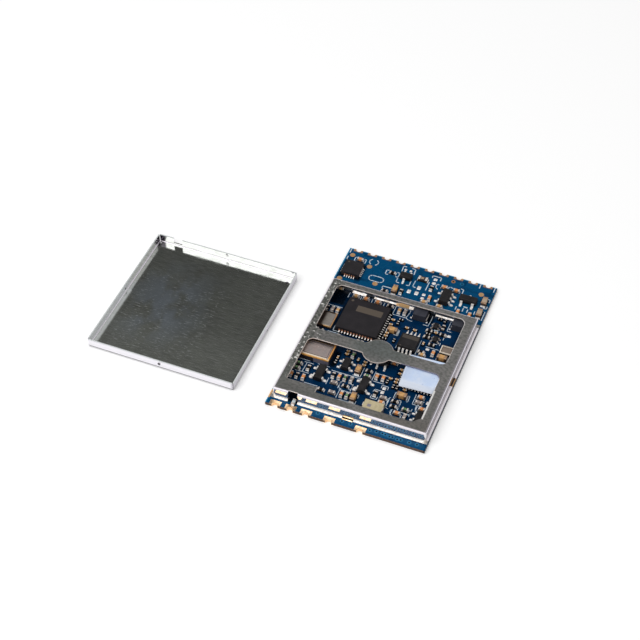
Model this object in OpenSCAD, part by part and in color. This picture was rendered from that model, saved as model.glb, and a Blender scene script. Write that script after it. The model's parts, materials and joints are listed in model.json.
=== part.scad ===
// Video receiver module: a castellated board, its parts, a shield frame and the lid taken off.
// Millimetres. The origin is the middle of the board's underside. X is right, Y is away, Z is up.

/* [Board] */
// Width of the board along its solder rows
board_w = 26; // [24:0.5:29]
// Length of the board from front edge to rear edge
board_l = 36.5; // [34:0.5:41]
// Thickness of the board
board_t = 0.6; // [0.5:0.1:1]

/* [Edge pads] */
// Spacing of the plated edge notches
pad_pitch = 2.54; // [2.5:0.01:2.58]
// Diameter of each half-round notch
notch_d = 1; // [0.8:0.05:1.1]
// Width of a rear pad
rear_pad_w = 1.6; // [1.5:0.05:1.8]
// Depth of a rear pad from the edge
rear_pad_l = 0.62; // [0.58:0.02:0.8]
// Width of a front pad
front_pad_w = 1.8; // [1.6:0.05:2]
// Depth of a front pad from the edge
front_pad_l = 0.87; // [0.7:0.02:0.95]
// Thickness of the plating
plate_t = 0.05; // [0.04:0.01:0.08]
// Diameter of a round test pad
test_d = 0.9; // [0.8:0.05:1]

/* [Shield frame] */
// Board left free at each side of the frame
side_free = 0.5; // [0.42:0.02:0.8]
// Board left free in front of the frame
front_free = 1.61; // [1.5:0.01:1.8]
// Board left free behind the frame
rear_free = 9.29; // [9.2:0.01:9.6]
// Height of the frame above the board
frame_h = 1.95; // [1.9:0.05:2.2]
// Thickness of the sheet that the frame and lid are pressed from
sheet_t = 0.2; // [0.16:0.02:0.24]
// Outer radius of the bends and corners
bend_r = 0.35; // [0.3:0.05:0.45]
// Offset of the frame to the right of the board's middle
frame_dx = 0.085; // [0:0.01:0.12]
// Width of the flat land at the left wall
side_land = 1.3; // [1.1:0.05:1.5]
// Width of the flat land at the right wall
right_land = 1.65; // [1.4:0.05:1.75]
// Width of the land at the rear wall
rear_land = 1.15; // [1:0.05:1.4]
// Width of the land at the front wall
front_land = 1.5; // [1.3:0.05:1.6]
// Extra land at the left of the front window
step_land = 1.1; // [0.9:0.05:1.2]
// Radius of the windows' corners
window_r = 1.1; // [0.8:0.05:1.2]
// Chamfer at the right front corner of the front window
window_cut = 1.2; // [0.9:0.05:1.4]
// Width of the cross bar
bar_w = 2.1; // [1.9:0.05:2.3]
// Diameter of the round pick-up disc
disc_d = 4.8; // [4.5:0.1:5]
// Fillet between disc and bar
disc_fillet = 0.35; // [0.25:0.05:0.45]
// Width of the mouse hole in the front wall
mouse_w = 1.6; // [1.4:0.05:1.8]
// Width of the foot notch in the middle of each wall
foot_w = 1.75; // [1.5:0.05:2]
// Height of the foot notch
foot_h = 0.65; // [0.5:0.05:0.8]
// Width of the ground strip outside and inside the wall
strip_w = 0.3; // [0.2:0.05:0.36]

/* [Shield lid] */
// Height of the lid
lid_h = 1.6; // [1.5:0.05:1.8]
// Clearance between lid and frame at each wall
lid_gap = 0.05; // [0.03:0.01:0.1]
// Space on the table between the lid and the board
lid_space = 5.6; // [4:0.1:8]
// Distance of the lid's middle in front of the board's middle
lid_dy = -4.56; // [-6:0.02:-3]
// Depth of a snap pip
pip_h = 0.1; // [0.06:0.01:0.12]
// Radius of a snap pip's round
pip_r = 0.5; // [0.4:0.05:0.6]
// Width of the slit up each folded corner
slit_w = 0.12; // [0.08:0.02:0.16]
// Radius of the round relief where a slit ends in the floor
relief_r = 0.2; // [0.15:0.01:0.25]

/* [Flat chips] */
// Height of the three flat chips
chip_h = 0.85; // [0.75:0.05:0.9]
// Side of the video chip
video_w = 7; // [6.9:0.05:7.1]
// Side of the tuner chip
tuner_w = 6; // [5.9:0.05:6.1]
// Side of the controller chip
controller_w = 3; // [2.95:0.05:3.1]
// Height of the exposed lead ends
lead_h = 0.4; // [0.2:0.05:0.45]
// Depth of the leads into the body
lead_in = 0.4; // [0.3:0.05:0.45]
// Reach of the leads past the body
lead_out = 0.06; // [0.04:0.01:0.1]
// Side of the thermal pad
thermal_w = 6; // [5.9:0.05:6.3]
// Space between the thermal pad and the frame above it
thermal_gap = 0.06; // [0.05:0.01:0.1]

/* [Packages with legs] */
// Thickness of the legs
leg_t = 0.14; // [0.1:0.02:0.18]
// Draft of the moulded sides
draft = 0.1; // [0.05:0.01:0.14]
// Height of the bodies above the board
body_lift = 0.08; // [0.04:0.01:0.1]

/* [Cans] */
// Length of the oscillator
osc_l = 5; // [4.9:0.05:5.1]
// Width of the oscillator
osc_w = 3.6; // [3.3:0.05:3.7]
// Height of the oscillator
osc_h = 1.15; // [1.05:0.05:1.3]
// Length of the large crystal
xtal_l = 3.2; // [3.1:0.05:3.3]
// Width of the large crystal
xtal_w = 2.5; // [2.4:0.05:2.6]
// Height of the crystals
xtal_h = 0.65; // [0.6:0.05:0.75]
// Width of the oscillator's gold rim
rim_w = 0.22; // [0.18:0.02:0.3]
// Width of the crystals' gold rims
xtal_rim_w = 0.14; // [0.1:0.02:0.2]
// Height of the gold rims
rim_h = 0.2; // [0.14:0.02:0.24]
// Gap between a can's rim and its lid
rim_gap = 0.08; // [0.04:0.01:0.1]

/* [Coils and filter] */
// Length of a power inductor's core
coil_l = 2.2; // [2.1:0.05:2.3]
// Width of a power inductor's core
coil_w = 1.9; // [1.8:0.05:2]
// Height of a power inductor
coil_h = 1.4; // [1.3:0.05:1.65]
// Thickness of its end terminals
coil_end = 0.14; // [0.1:0.02:0.18]
// Length of the ceramic filter
filter_l = 3.1; // [3:0.05:3.2]
// Width of the ceramic filter
filter_w = 2.2; // [2.1:0.05:2.3]
// Height of the ceramic filter
filter_h = 1; // [0.9:0.05:1.1]

/* [Chip parts] */
// Length of a middle-size chip part
mid_l = 1; // [0.96:0.02:1.04]
// Width of a middle-size chip part
mid_w = 0.52; // [0.48:0.02:0.54]
// Height of a middle-size capacitor or coil
mid_h = 0.5; // [0.45:0.05:0.55]
// Height of a resistor
flat_h = 0.35; // [0.3:0.05:0.4]
// Length of a large chip part
big_l = 1.6; // [1.55:0.05:1.7]
// Width of a large chip part
big_w = 0.82; // [0.78:0.02:0.9]
// Height of a large chip part
big_h = 0.8; // [0.7:0.05:0.85]
// Length of a small chip part
tiny_l = 0.64; // [0.6:0.02:0.66]
// Width of a small chip part
tiny_w = 0.34; // [0.3:0.02:0.36]
// Height of a small chip part
tiny_h = 0.32; // [0.28:0.02:0.36]
// Length of an end cap as a share of the part
cap_share = 0.24; // [0.2:0.01:0.28]
// How far a body lies inside its end caps
cap_lip = 0.02; // [0.01:0.01:0.04]
// Height of a tinned pad
tin_h = 0.06; // [0.04:0.01:0.1]

/* [Hidden] */
$fn = 48;

eps = 0.01;
top = board_t;
frame_w = board_w - 2 * side_free;
frame_l = board_l - front_free - rear_free;
fx = frame_dx;
fy = (front_free - rear_free) / 2;
frame_x0 = fx - frame_w / 2;
frame_x1 = fx + frame_w / 2;
frame_y0 = fy - frame_l / 2;
frame_y1 = fy + frame_l / 2;
frame_top = top + frame_h;
// The windows in the frame's top
win_x0 = frame_x0 + side_land;
win_x1 = frame_x1 - right_land;
win_y0 = frame_y0 + front_land;
win_y1 = frame_y1 - rear_land;
// The bar and disc lie a little behind the frame's middle
bar_y = fy + 0.16;
// The lid fits over the frame with its clearance
lid_w = frame_w + 2 * (sheet_t + lid_gap);
lid_l = frame_l + 2 * (sheet_t + lid_gap);
lid_x = -board_w / 2 - lid_space - lid_w / 2;
// The reliefs stay in the flat floor, clear of the bends
relief_in = bend_r + relief_r + 0.05;
// The thermal pad fills the space from the tuner chip to the frame
thermal_h = frame_h - sheet_t - chip_h - thermal_gap;

// The rear row holds as many pads as fit
rear_pads = floor((board_w - rear_pad_w) / pad_pitch) + 1;
rear_places = [for (i = [0 : rear_pads - 1]) (i - (rear_pads - 1) / 2) * pad_pitch];
// The front row starts in line with it and leaves out some places of the grid
front_places = [for (i = [0, 1, 2, 3.5, 5.5]) rear_places[0] + i * pad_pitch];

// The places below are drawn on a board and a frame of these sizes, and spread out with the real ones:
// those inside the frame with the frame, those behind it with the board's width and rear edge
drawn_board = [26, 36.5];
drawn_frame = [25, 25.6];
drawn_mid = [0.085, -3.84];
function behind(p) = p[1] > drawn_mid[1] + drawn_frame[1] / 2;
function spread_x(p) = behind(p) ? p[0] * board_w / drawn_board[0]
    : fx + (p[0] - drawn_mid[0]) * frame_w / drawn_frame[0];
function spread_y(p) = behind(p) ? p[1] + (board_l - drawn_board[1]) / 2
    : fy + (p[1] - drawn_mid[1]) * frame_l / drawn_frame[1];
function spread(p) = concat([spread_x(p), spread_y(p)], [for (i = [2 : 1 : len(p) - 1]) p[i]]);
function spread_all(places) = [for (p = places) spread(p)];

// The step in the front window and the mouse hole move with the parts
step_x = spread([-6.015, 0])[0];
mouse_x = spread([-9.045, 0])[0];

test_places = spread_all([[-12, 16.75], [-8.4, 15.2], [-6.15, 11.8], [-12.1, 10.9], [10.95, 15.9]]);

// Places of the chips and cans on the board, from its middle
video_at = spread([-5.03, 3.3]);
tuner_at = spread([8, -4.4]);
thermal_at = spread([8.12, -4.9]);
thermal_turn = 3;
controller_at = spread([-10.7, 13.3]);
// The amplifier keeps its distance from the tuner chip's left rear corner
amplifier_at = [tuner_at[0] - tuner_w / 2 - 1.45, tuner_at[1] + tuner_w / 2 + 2.4];
regulator_at = spread([5.8, 12.65]);
rear_tr_at = spread([9.45, 13.5]);
buffer_at = spread([-1.8, 14.85]);
radio_at = spread_all([[-7.18, -10.02], [0.05, -9.95]]);
mixer_at = spread([-4, -6.85]);
switch_at = spread_all([[1.2, -4.3, 0], [10.2, -12.75, -90]]);
tiny_at = spread_all([[6.4, 6.15, 180], [7.25, 3.4, 180]]);
osc_at = spread([-9.15, -6.1]);
xtal_at = spread([-10.4, 1.05]);
small_xtal_at = spread([9.75, 1.68]);
small_xtal_l = 2;
small_xtal_w = 1.6;
coil_at = spread_all([[3.4, 7.4], [9.95, 7.45]]);
filter_at = spread([3, -13.75]);
antenna_at = [mouse_x + 0.265, frame_y0 - 0.21];
ferrite_at = spread([0.95, 15.5]);
// Rows of small parts that keep close to the tuner chip and the amplifier
beside_tuner = tuner_at[0] - tuner_w / 2 - 0.55;
before_tuner = tuner_at[1] - tuner_w / 2 - 0.8;
behind_amplifier = amplifier_at[1] + 3.25;

// Places of the chip parts: across, away, and the turn of the long side
tan_at = spread_all([
    [-7.95, 7.85, 0], [-9.55, 3.7, 90], [-0.22, 7.3, 90], [2.75, 10.65, 0], [5.4, 10.6, 0],
    [6.3, -0.42, 0], [-7.4, -1.75, 90], [-4.1, -1.75, 90]
]);
orange_at = spread_all([
    [-10.33, 16, 0], [4.87, 15.05, 0], [6.95, 15, 0], [8.62, 10.5, 90], [10.62, 10.5, 90],
    [3.35, 11.75, 90], [-6.2, 7.85, 0], [-4.13, 7.85, 0], [7.85, 0.55, 90], [1.3, -7.25, 90],
    [2.35, -7.2, 90], [-4.15, -9.45, 90], [-9.35, -11.6, 90], [-11.4, -11.6, 90],
    [-2.55, -12.65, 90], [3.7, -11.95, 0], [6.65, -13.05, 0], [9.1, -8.75, 0], [10, -10.95, 0],
    [2.9, -3.6, 0]
]);
grey_at = spread_all([
    [0.75, 7.3, 90], [-10.45, 3.7, 90], [-4.5, -10.85, 0], [-4.1, -12.85, 0], [3.7, -10.95, 0],
    [9.1, -9.85, 0], [8, -13.3, 90], [-2.15, -9.4, 90], [-5.65, -1.7, 0], [-3.4, -1.75, 90]
]);
marked_at = spread_all([
    [-11.1, -9.1, 0], [-11.1, -10.1, 0], [-3.7, -4.5, 90], [-3.2, -9.4, 90], [-0.15, -7.75, 0],
    [-1.65, -12.65, 90], [7.65, -11.95, 0]
]);
resistor_at = spread_all([
    [-4.23, 15.1, 0], [2.9, 14.1, 90], [-1.5, 11.5, 90], [-4.1, 10.75, 0], [-2, 7.85, 0],
    [7.6, 6.45, 90], [5.7, 5, 0], [8, 4.9, 0], [5.75, 3.55, 0], [7, 2.25, 0], [5.95, 0.2, 0],
    [-9.35, -9.45, 90], [-10.45, -11.55, 90], [-5.15, -9.45, 90], [-2.6, -10.85, 0],
    [-5.9, -12.85, 0], [-0.25, -6.6, 0], [2.25, -10.55, 90], [5.6, -10.9, 0], [5.7, -11.95, 0],
    [-11.45, 3.7, 90], [-10.7, -1.2, 0]
]);
large_at = spread_all([
    [12, 14.15, 90], [12, 11.35, 90], [-2.55, 11.35, 90], [0.2, 2.75, 0], [9.5, 0, 0],
    [6.25, -9.6, 0], [-0.6, -12.7, 90], [-1.85, -7.15, 90]
]);
small_cap_at = concat(
    spread_all([
        [-0.5, 5.1, 0], [-0.5, 4, 0], [-0.45, 2.04, 0], [-0.45, 1.4, 0], [6.85, 4.95, 0],
        [5.72, 2, 90], [-4.75, -3.9, 0], [-4.75, -4.55, 0], [-1.4, -5.1, 0], [-1.4, -5.75, 0],
        [-2.65, -5, 90], [-5.85, -5.75, 90], [3.4, -6.8, 0]
    ]),
    [for (x = [-1.38, -0.03]) [amplifier_at[0] + x, behind_amplifier, 0]],
    [for (y = [-0.1, -0.95, -2.25, -2.85]) [beside_tuner, tuner_at[1] + y, 0]],
    [[tuner_at[0] - 1.75, before_tuner, 0]]
);
small_res_at = concat(
    spread_all([
        [0.7, 5.6, 0], [0.45, 4.75, 90], [-0.45, 0.75, 0], [1.15, 0.9, 90], [6.5, 8, 0],
        [7.4, 7.9, 90], [3.15, -7.65, 90], [-5.85, -6.75, 90], [5.75, 4.25, 0]
    ]),
    [for (x = [-3.65, -3.03]) [tuner_at[0] + x, before_tuner, 90]]
);
// Pads with solder and no part: across, away, width, depth
tin_at = spread_all([
    [0.95, 13.55, 0.65, 0.85], [0.95, 12.25, 0.65, 0.85], [-0.35, 12.2, 0.65, 0.85],
    [2.88, 16.35, 0.65, 0.55], [2.88, 15.45, 0.65, 0.55], [2.2, 12.35, 0.6, 0.5],
    [2.2, 11.5, 0.6, 0.5], [9, 5.1, 0.65, 0.5], [6.7, 1.2, 0.65, 0.45], [-0.55, -4.95, 0.4, 0.45],
    [3.15, -8.95, 0.6, 0.6], [3.15, -9.8, 0.6, 0.6], [10.4, -9.3, 0.5, 0.6]
]);

// A solid box from two corners
module block(a, b) {
    translate(a)
        cube(b - a);
}

// A box with rounded upright corners and a rounded top edge, or a rounded bottom edge where it is turned over
module pressed_box(x0, x1, y0, y1, z0, z1, r, over = false) {
    low = over ? z0 + r : z0;
    high = over ? z1 : z1 - r;
    bend = over ? z0 + r : z1 - r;
    intersection() {
        union() {
            block([x0, y0, low], [x1, y1, high]);
            block([x0 + r, y0, z0], [x1 - r, y1, z1]);
            for (x = [x0 + r, x1 - r])
                translate([x, y0, bend])
                    rotate([-90, 0, 0])
                        cylinder(h = y1 - y0, r = r);
        }
        union() {
            block([x0, y0, low], [x1, y1, high]);
            block([x0, y0 + r, z0], [x1, y1 - r, z1]);
            for (y = [y0 + r, y1 - r])
                translate([x0, y, bend])
                    rotate([0, 90, 0])
                        cylinder(h = x1 - x0, r = r);
        }
        union() {
            block([x0 + r, y0, z0], [x1 - r, y1, z1]);
            block([x0, y0 + r, z0], [x1, y1 - r, z1]);
            for (x = [x0 + r, x1 - r])
                for (y = [y0 + r, y1 - r])
                    translate([x, y, z0])
                        cylinder(h = z1 - z0, r = r);
        }
    }
}

// An upright prism with rounded corners
module rounded_hole(x0, x1, y0, y1, z0, z1, r) {
    block([x0 + r, y0, z0], [x1 - r, y1, z1]);
    block([x0, y0 + r, z0], [x1, y1 - r, z1]);
    for (x = [x0 + r, x1 - r])
        for (y = [y0 + r, y1 - r])
            translate([x, y, z0])
                cylinder(h = z1 - z0, r = r);
}

// One plated clip on the rear edge, its middle at the edge: top plate, notch lining, bottom plate
module edge_clip(w, l) {
    difference() {
        union() {
            for (z = [0, top - plate_t])
                block([-w / 2, -l, z], [w / 2, 0, z + plate_t]);
            intersection() {
                cylinder(h = top, d = notch_d);
                block([-w / 2, -l, 0], [w / 2, 0, top]);
            }
        }
        translate([0, 0, -eps])
            cylinder(h = top + 2 * eps, d = notch_d - 2 * plate_t);
    }
}

// The room that a clip needs in the board
module edge_room(w, l) {
    block([-w / 2, -l, -1], [w / 2, 1, plate_t]);
    block([-w / 2, -l, top - plate_t], [w / 2, 1, top + 1]);
    translate([0, 0, -1])
        cylinder(h = top + 2, d = notch_d);
}

module at_rear() {
    for (x = rear_places)
        translate([x, board_l / 2, 0])
            children();
}

module at_front() {
    for (x = front_places)
        translate([x, -board_l / 2, 0])
            rotate([0, 0, 180])
                children();
}

// The ground strip follows the frame's feet and stops at the mouse hole
module strip_ring(z0, z1) {
    x0 = max(frame_x0 - strip_w, -board_w / 2 + 0.06);
    x1 = min(frame_x1 + strip_w, board_w / 2 - 0.06);
    inner = sheet_t + strip_w;
    difference() {
        block([x0, frame_y0 - strip_w, z0], [x1, frame_y1 + strip_w, z1]);
        block([frame_x0 + inner, frame_y0 + inner, z0 - 1], [frame_x1 - inner, frame_y1 - inner, z1 + 1]);
        block([mouse_x - mouse_w / 2, frame_y0 - 2, z0 - 1], [mouse_x + mouse_w / 2, frame_y0 + 2, z1 + 1]);
    }
}

module circuit_board() {
    color([0.0, 0.27, 0.45])
        difference() {
            block([-board_w / 2, -board_l / 2, 0], [board_w / 2, board_l / 2, top]);
            at_rear()
                edge_room(rear_pad_w, rear_pad_l);
            at_front()
                edge_room(front_pad_w, front_pad_l);
            for (p = test_places)
                translate([p[0], p[1], top - plate_t])
                    cylinder(h = 1, d = test_d);
            strip_ring(top - plate_t, top + 1);
        }
}

module rear_edge_pads() {
    color([0.9, 0.7, 0.45])
        at_rear()
            edge_clip(rear_pad_w, rear_pad_l);
}

module front_edge_pads() {
    color([0.9, 0.7, 0.45])
        at_front()
            edge_clip(front_pad_w, front_pad_l);
}

module test_pads() {
    color([0.85, 0.65, 0.4])
        for (p = test_places)
            translate([p[0], p[1], top - plate_t])
                cylinder(h = plate_t, d = test_d);
}

module ground_strip() {
    color([0.85, 0.85, 0.85])
        strip_ring(top - plate_t, top);
}

module tinned_pads() {
    color([0.88, 0.88, 0.88])
        for (p = tin_at)
            block([p[0] - p[2] / 2, p[1] - p[3] / 2, top], [p[0] + p[2] / 2, p[1] + p[3] / 2, top + tin_h]);
}

// The bar and disc that stay between the two windows
module bar_and_disc(z0, z1) {
    r = disc_d / 2;
    half = bar_w / 2;
    side = sqrt(pow(r + disc_fillet, 2) - pow(half + disc_fillet, 2));
    touch = r / (r + disc_fillet);
    block([win_x0 - 1, bar_y - half, z0], [win_x1 + 1, bar_y + half, z1]);
    translate([fx, bar_y, z0])
        cylinder(h = z1 - z0, r = r);
    for (sx = [-1, 1])
        for (sy = [-1, 1])
            translate([fx, bar_y, z0])
                difference() {
                    linear_extrude(height = z1 - z0)
                        polygon([
                            [sx * side, sy * half * 0.9],
                            [sx * side, sy * (half + disc_fillet)],
                            [sx * side * touch, sy * (half + disc_fillet) * touch],
                            [sx * side * touch * 0.9, sy * half * 0.9]
                        ]);
                    translate([sx * side, sy * (half + disc_fillet), -1])
                        cylinder(h = z1 - z0 + 2, r = disc_fillet);
                }
}

// What is punched out of the frame's top
module frame_windows() {
    z0 = frame_top - sheet_t - 0.5;
    z1 = frame_top + 1;
    mid = bar_y + bar_w / 2;
    low = bar_y - bar_w / 2;
    difference() {
        union() {
            rounded_hole(win_x0, win_x1, mid, win_y1, z0, z1, window_r);
            difference() {
                rounded_hole(win_x0, win_x1, win_y0, low, z0, z1, window_r);
                block([win_x0 - 1, win_y0 - 1, z0 - 1], [step_x, win_y0 + step_land, z1 + 1]);
                translate([win_x1, win_y0, z0 - 1])
                    rotate([0, 0, -45])
                        block([-window_cut * 0.71, -3, 0], [3, 3, z1 - z0 + 2]);
            }
        }
        bar_and_disc(z0 - 1, z1 + 1);
    }
}

module shield_frame() {
    color([0.6, 0.61, 0.58])
        difference() {
            pressed_box(frame_x0, frame_x1, frame_y0, frame_y1, top, frame_top, bend_r);
            pressed_box(frame_x0 + sheet_t, frame_x1 - sheet_t, frame_y0 + sheet_t, frame_y1 - sheet_t,
                top - 1, frame_top - sheet_t, bend_r - sheet_t + 0.02);
            frame_windows();
            block([mouse_x - mouse_w / 2, frame_y0 - 1, top - 1],
                [mouse_x + mouse_w / 2, frame_y0 + bend_r + 0.05, frame_top + 1]);
            block([fx - foot_w / 2, frame_y0 - 1, top - 1], [fx + foot_w / 2, frame_y1 + 1, top + foot_h]);
            block([frame_x0 - 1, fy - foot_w / 2, top - 1], [frame_x1 + 1, fy + foot_w / 2, top + foot_h]);
        }
}

// A round of each snap pip, sunk by a depth from the inner side of its wall
module pip_rounds(depth) {
    z = lid_h - 0.42;
    inx = lid_w / 2 - sheet_t + depth;
    iny = lid_l / 2 - sheet_t + depth;
    for (p = [[-inx, 0, 180], [inx, 0, 0], [0, -iny, -90], [0, iny, 90]])
        translate([p[0], p[1], z])
            rotate([0, 0, p[2]])
                sphere(r = pip_r);
}

// The lid lies on its outer face with the rim up
module shield_lid() {
    hw = lid_w / 2;
    hl = lid_l / 2;
    notch = mouse_x - fx;
    color([0.55, 0.57, 0.54])
        translate([lid_x, lid_dy, 0])
            difference() {
                pressed_box(-hw, hw, -hl, hl, 0, lid_h, bend_r, true);
                difference() {
                    pressed_box(sheet_t - hw, hw - sheet_t, sheet_t - hl, hl - sheet_t,
                        sheet_t, lid_h + 1, bend_r - sheet_t + 0.02, true);
                    pip_rounds(pip_r - pip_h);
                }
                pip_rounds(pip_r - pip_h + sheet_t);
                block([notch - mouse_w / 2, hl - 1, 0.55], [notch + mouse_w / 2, hl + 1, lid_h + 1]);
                for (x = [-1, 1])
                    for (y = [-1, 1])
                        translate([x * (hw - relief_in), y * (hl - relief_in), 0]) {
                            translate([0, 0, -1])
                                cylinder(h = sheet_t + 2, r = relief_r);
                            rotate([0, 0, atan2(y, x)])
                                block([0, -slit_w / 2, -1], [2, slit_w / 2, lid_h + 1]);
                        }
            }
}

// The leads of a flat chip: count on each side, with spacing and width
module flat_leads(at, w, count, pitch, wide, reach) {
    translate([at[0], at[1], top])
        for (turn = [0, 90, 180, 270])
            rotate([0, 0, turn])
                for (i = [0 : count - 1])
                    translate([(i - (count - 1) / 2) * pitch, -w / 2, 0])
                        block([-wide / 2, -reach, 0], [wide / 2, lead_in, lead_h]);
}

module flat_body(at, w, count, pitch, wide) {
    difference() {
        block([at[0] - w / 2, at[1] - w / 2, top], [at[0] + w / 2, at[1] + w / 2, top + chip_h]);
        translate([0, 0, -1])
            flat_leads(at, w, count, pitch, wide, 1);
        flat_leads(at, w, count, pitch, wide, 1);
    }
}

module video_chip_body() {
    color([0.16, 0.15, 0.16])
        flat_body(video_at, video_w, 12, 0.5, 0.25);
}

module video_chip_leads() {
    color([0.8, 0.6, 0.5])
        flat_leads(video_at, video_w, 12, 0.5, 0.25, lead_out);
}

module tuner_chip_body() {
    color([0.15, 0.15, 0.16])
        flat_body(tuner_at, tuner_w, 10, 0.5, 0.25);
}

module tuner_chip_leads() {
    color([0.8, 0.75, 0.7])
        flat_leads(tuner_at, tuner_w, 10, 0.5, 0.25, lead_out);
}

module thermal_pad() {
    z = top + chip_h;
    color([0.75, 0.8, 0.94])
        translate([thermal_at[0], thermal_at[1], z])
            rotate([0, 0, thermal_turn])
                block([-thermal_w / 2, -thermal_w / 2, 0], [thermal_w / 2, thermal_w / 2, thermal_h]);
}

module controller_chip_body() {
    color([0.17, 0.16, 0.16])
        flat_body(controller_at, controller_w, 5, 0.4, 0.2);
}

module controller_chip_leads() {
    color([0.8, 0.6, 0.5])
        flat_leads(controller_at, controller_w, 5, 0.4, 0.2, lead_out);
}

// A moulded body with drafted long sides: w across its legs, l along the row of legs, h in all
module leg_body(w, l, h) {
    mid = body_lift + (h - body_lift) / 2;
    translate([0, l / 2, top])
        rotate([90, 0, 0])
            linear_extrude(height = l)
                polygon([
                    [draft - w / 2, body_lift], [w / 2 - draft, body_lift],
                    [w / 2, mid - leg_t / 2], [w / 2, mid + leg_t / 2],
                    [w / 2 - draft, h], [draft - w / 2, h],
                    [-w / 2, mid + leg_t / 2], [-w / 2, mid - leg_t / 2]
                ]);
}

// One gull-wing leg that leaves the body's right side at height of its middle and ends on the board
module leg(w, h, reach, wide) {
    mid = body_lift + (h - body_lift) / 2;
    bend = reach * 0.22;
    foot = reach * 0.5;
    translate([w / 2, wide / 2, top])
        rotate([90, 0, 0])
            linear_extrude(height = wide)
                polygon([
                    [0, mid - leg_t / 2], [bend - leg_t * 0.5, mid - leg_t / 2],
                    [foot - leg_t * 0.8, 0], [reach, 0], [reach, leg_t], [foot, leg_t],
                    [bend + leg_t * 0.4, mid + leg_t / 2], [0, mid + leg_t / 2]
                ]);
}

// Legs at the places given along each side: right side, then left side
module legs(w, h, reach, wide, right, left) {
    for (y = right)
        translate([0, y, 0])
            leg(w, h, reach, wide);
    for (y = left)
        translate([0, y, 0])
            rotate([0, 0, 180])
                leg(w, h, reach, wide);
}

module spot(at, turn) {
    translate([at[0], at[1], 0])
        rotate([0, 0, turn])
            children();
}

four_row = [-0.975, -0.325, 0.325, 0.975];

module amplifier_body() {
    color([0.15, 0.14, 0.15])
        spot(amplifier_at, 90)
            leg_body(3, 3, 1);
}

module amplifier_leads() {
    color([0.82, 0.82, 0.82])
        spot(amplifier_at, 90)
            legs(3, 1, 0.95, 0.3, four_row, four_row);
}

module regulator_body() {
    color([0.12, 0.12, 0.13])
        spot(regulator_at, 0)
            leg_body(1.6, 2.9, 1.1);
}

module regulator_leads() {
    color([0.85, 0.83, 0.8])
        spot(regulator_at, 0)
            legs(1.6, 1.1, 0.65, 0.36, [-0.95, 0, 0.95], [-0.95, 0.95]);
}

module rear_transistor_body() {
    color([0.13, 0.13, 0.13])
        spot(rear_tr_at, -90)
            leg_body(1.3, 2.9, 1);
}

module rear_transistor_leads() {
    color([0.85, 0.83, 0.8])
        spot(rear_tr_at, -90)
            legs(1.3, 1, 0.7, 0.4, [-0.95, 0.95], [0]);
}

module buffer_transistor_body() {
    color([0.13, 0.13, 0.13])
        spot(buffer_at, -90)
            leg_body(1.25, 2, 0.9);
}

module buffer_transistor_leads() {
    color([0.85, 0.83, 0.8])
        spot(buffer_at, -90)
            legs(1.25, 0.9, 0.7, 0.34, [-0.15], [-0.6, 0.5]);
}

module radio_transistor_bodies() {
    color([0.13, 0.13, 0.13])
        for (p = radio_at)
            spot(p, 0)
                leg_body(1.3, 2.9, 1);
}

module radio_transistor_leads() {
    color([0.85, 0.83, 0.8])
        for (p = radio_at)
            spot(p, 0) {
                legs(1.3, 1, 0.65, 0.42, [-0.95, 0.95], [0.95]);
                legs(1.3, 1, 0.65, 0.78, [], [-0.8]);
            }
}

module mixer_transistor_body() {
    color([0.13, 0.13, 0.13])
        spot(mixer_at, 0)
            leg_body(1.25, 2.1, 0.95);
}

module mixer_transistor_leads() {
    color([0.85, 0.83, 0.8])
        spot(mixer_at, 0)
            legs(1.25, 0.95, 0.6, 0.34, [-0.65, 0.65], [-0.65, 0.65]);
}

module switch_transistor_bodies() {
    color([0.13, 0.13, 0.13])
        for (p = switch_at)
            spot(p, p[2] - 90)
                leg_body(1.25, 2, 0.9);
}

module switch_transistor_leads() {
    color([0.85, 0.83, 0.8])
        for (p = switch_at)
            spot(p, p[2] - 90)
                legs(1.25, 0.9, 0.6, 0.32, [-0.65, 0.65], [0]);
}

module tiny_transistor_bodies() {
    color([0.13, 0.13, 0.13])
        for (p = tiny_at)
            spot(p, p[2])
                leg_body(0.8, 1.05, 0.65);
}

module tiny_transistor_leads() {
    color([0.85, 0.83, 0.8])
        for (p = tiny_at)
            spot(p, p[2])
                legs(0.8, 0.65, 0.36, 0.26, [-0.36, 0.36], [-0.36, 0.36]);
}

// A can in three pieces: ceramic base, gold rim and metal lid sunk in the rim
module can_base(l, w, h) {
    block([-l / 2, -w / 2, top], [l / 2, w / 2, top + h - rim_h]);
}

module can_rim(l, w, h, rim) {
    difference() {
        block([-l / 2, -w / 2, top + h - rim_h], [l / 2, w / 2, top + h]);
        block([rim - l / 2, rim - w / 2, top + h - 1], [l / 2 - rim, w / 2 - rim, top + h + 1]);
    }
}

module can_lid(l, w, h, rim) {
    inset = rim + rim_gap;
    block([inset - l / 2, inset - w / 2, top + h - rim_h], [l / 2 - inset, w / 2 - inset, top + h - 0.03]);
}

module oscillator_base() {
    color([0.24, 0.2, 0.24])
        spot(osc_at, 0)
            can_base(osc_l, osc_w, osc_h);
}

module oscillator_rim() {
    color([0.85, 0.62, 0.3])
        spot(osc_at, 0)
            can_rim(osc_l, osc_w, osc_h, rim_w);
}

module oscillator_lid() {
    color([0.6, 0.56, 0.55])
        spot(osc_at, 0)
            can_lid(osc_l, osc_w, osc_h, rim_w);
}

module crystal_bases() {
    color([0.24, 0.2, 0.22])
        union() {
            spot(xtal_at, 0)
                can_base(xtal_w, xtal_l, xtal_h);
            spot(small_xtal_at, 0)
                can_base(small_xtal_l, small_xtal_w, xtal_h);
        }
}

module crystal_rims() {
    color([0.85, 0.62, 0.3])
        union() {
            spot(xtal_at, 0)
                can_rim(xtal_w, xtal_l, xtal_h, xtal_rim_w);
            spot(small_xtal_at, 0)
                can_rim(small_xtal_l, small_xtal_w, xtal_h, xtal_rim_w);
        }
}

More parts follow.
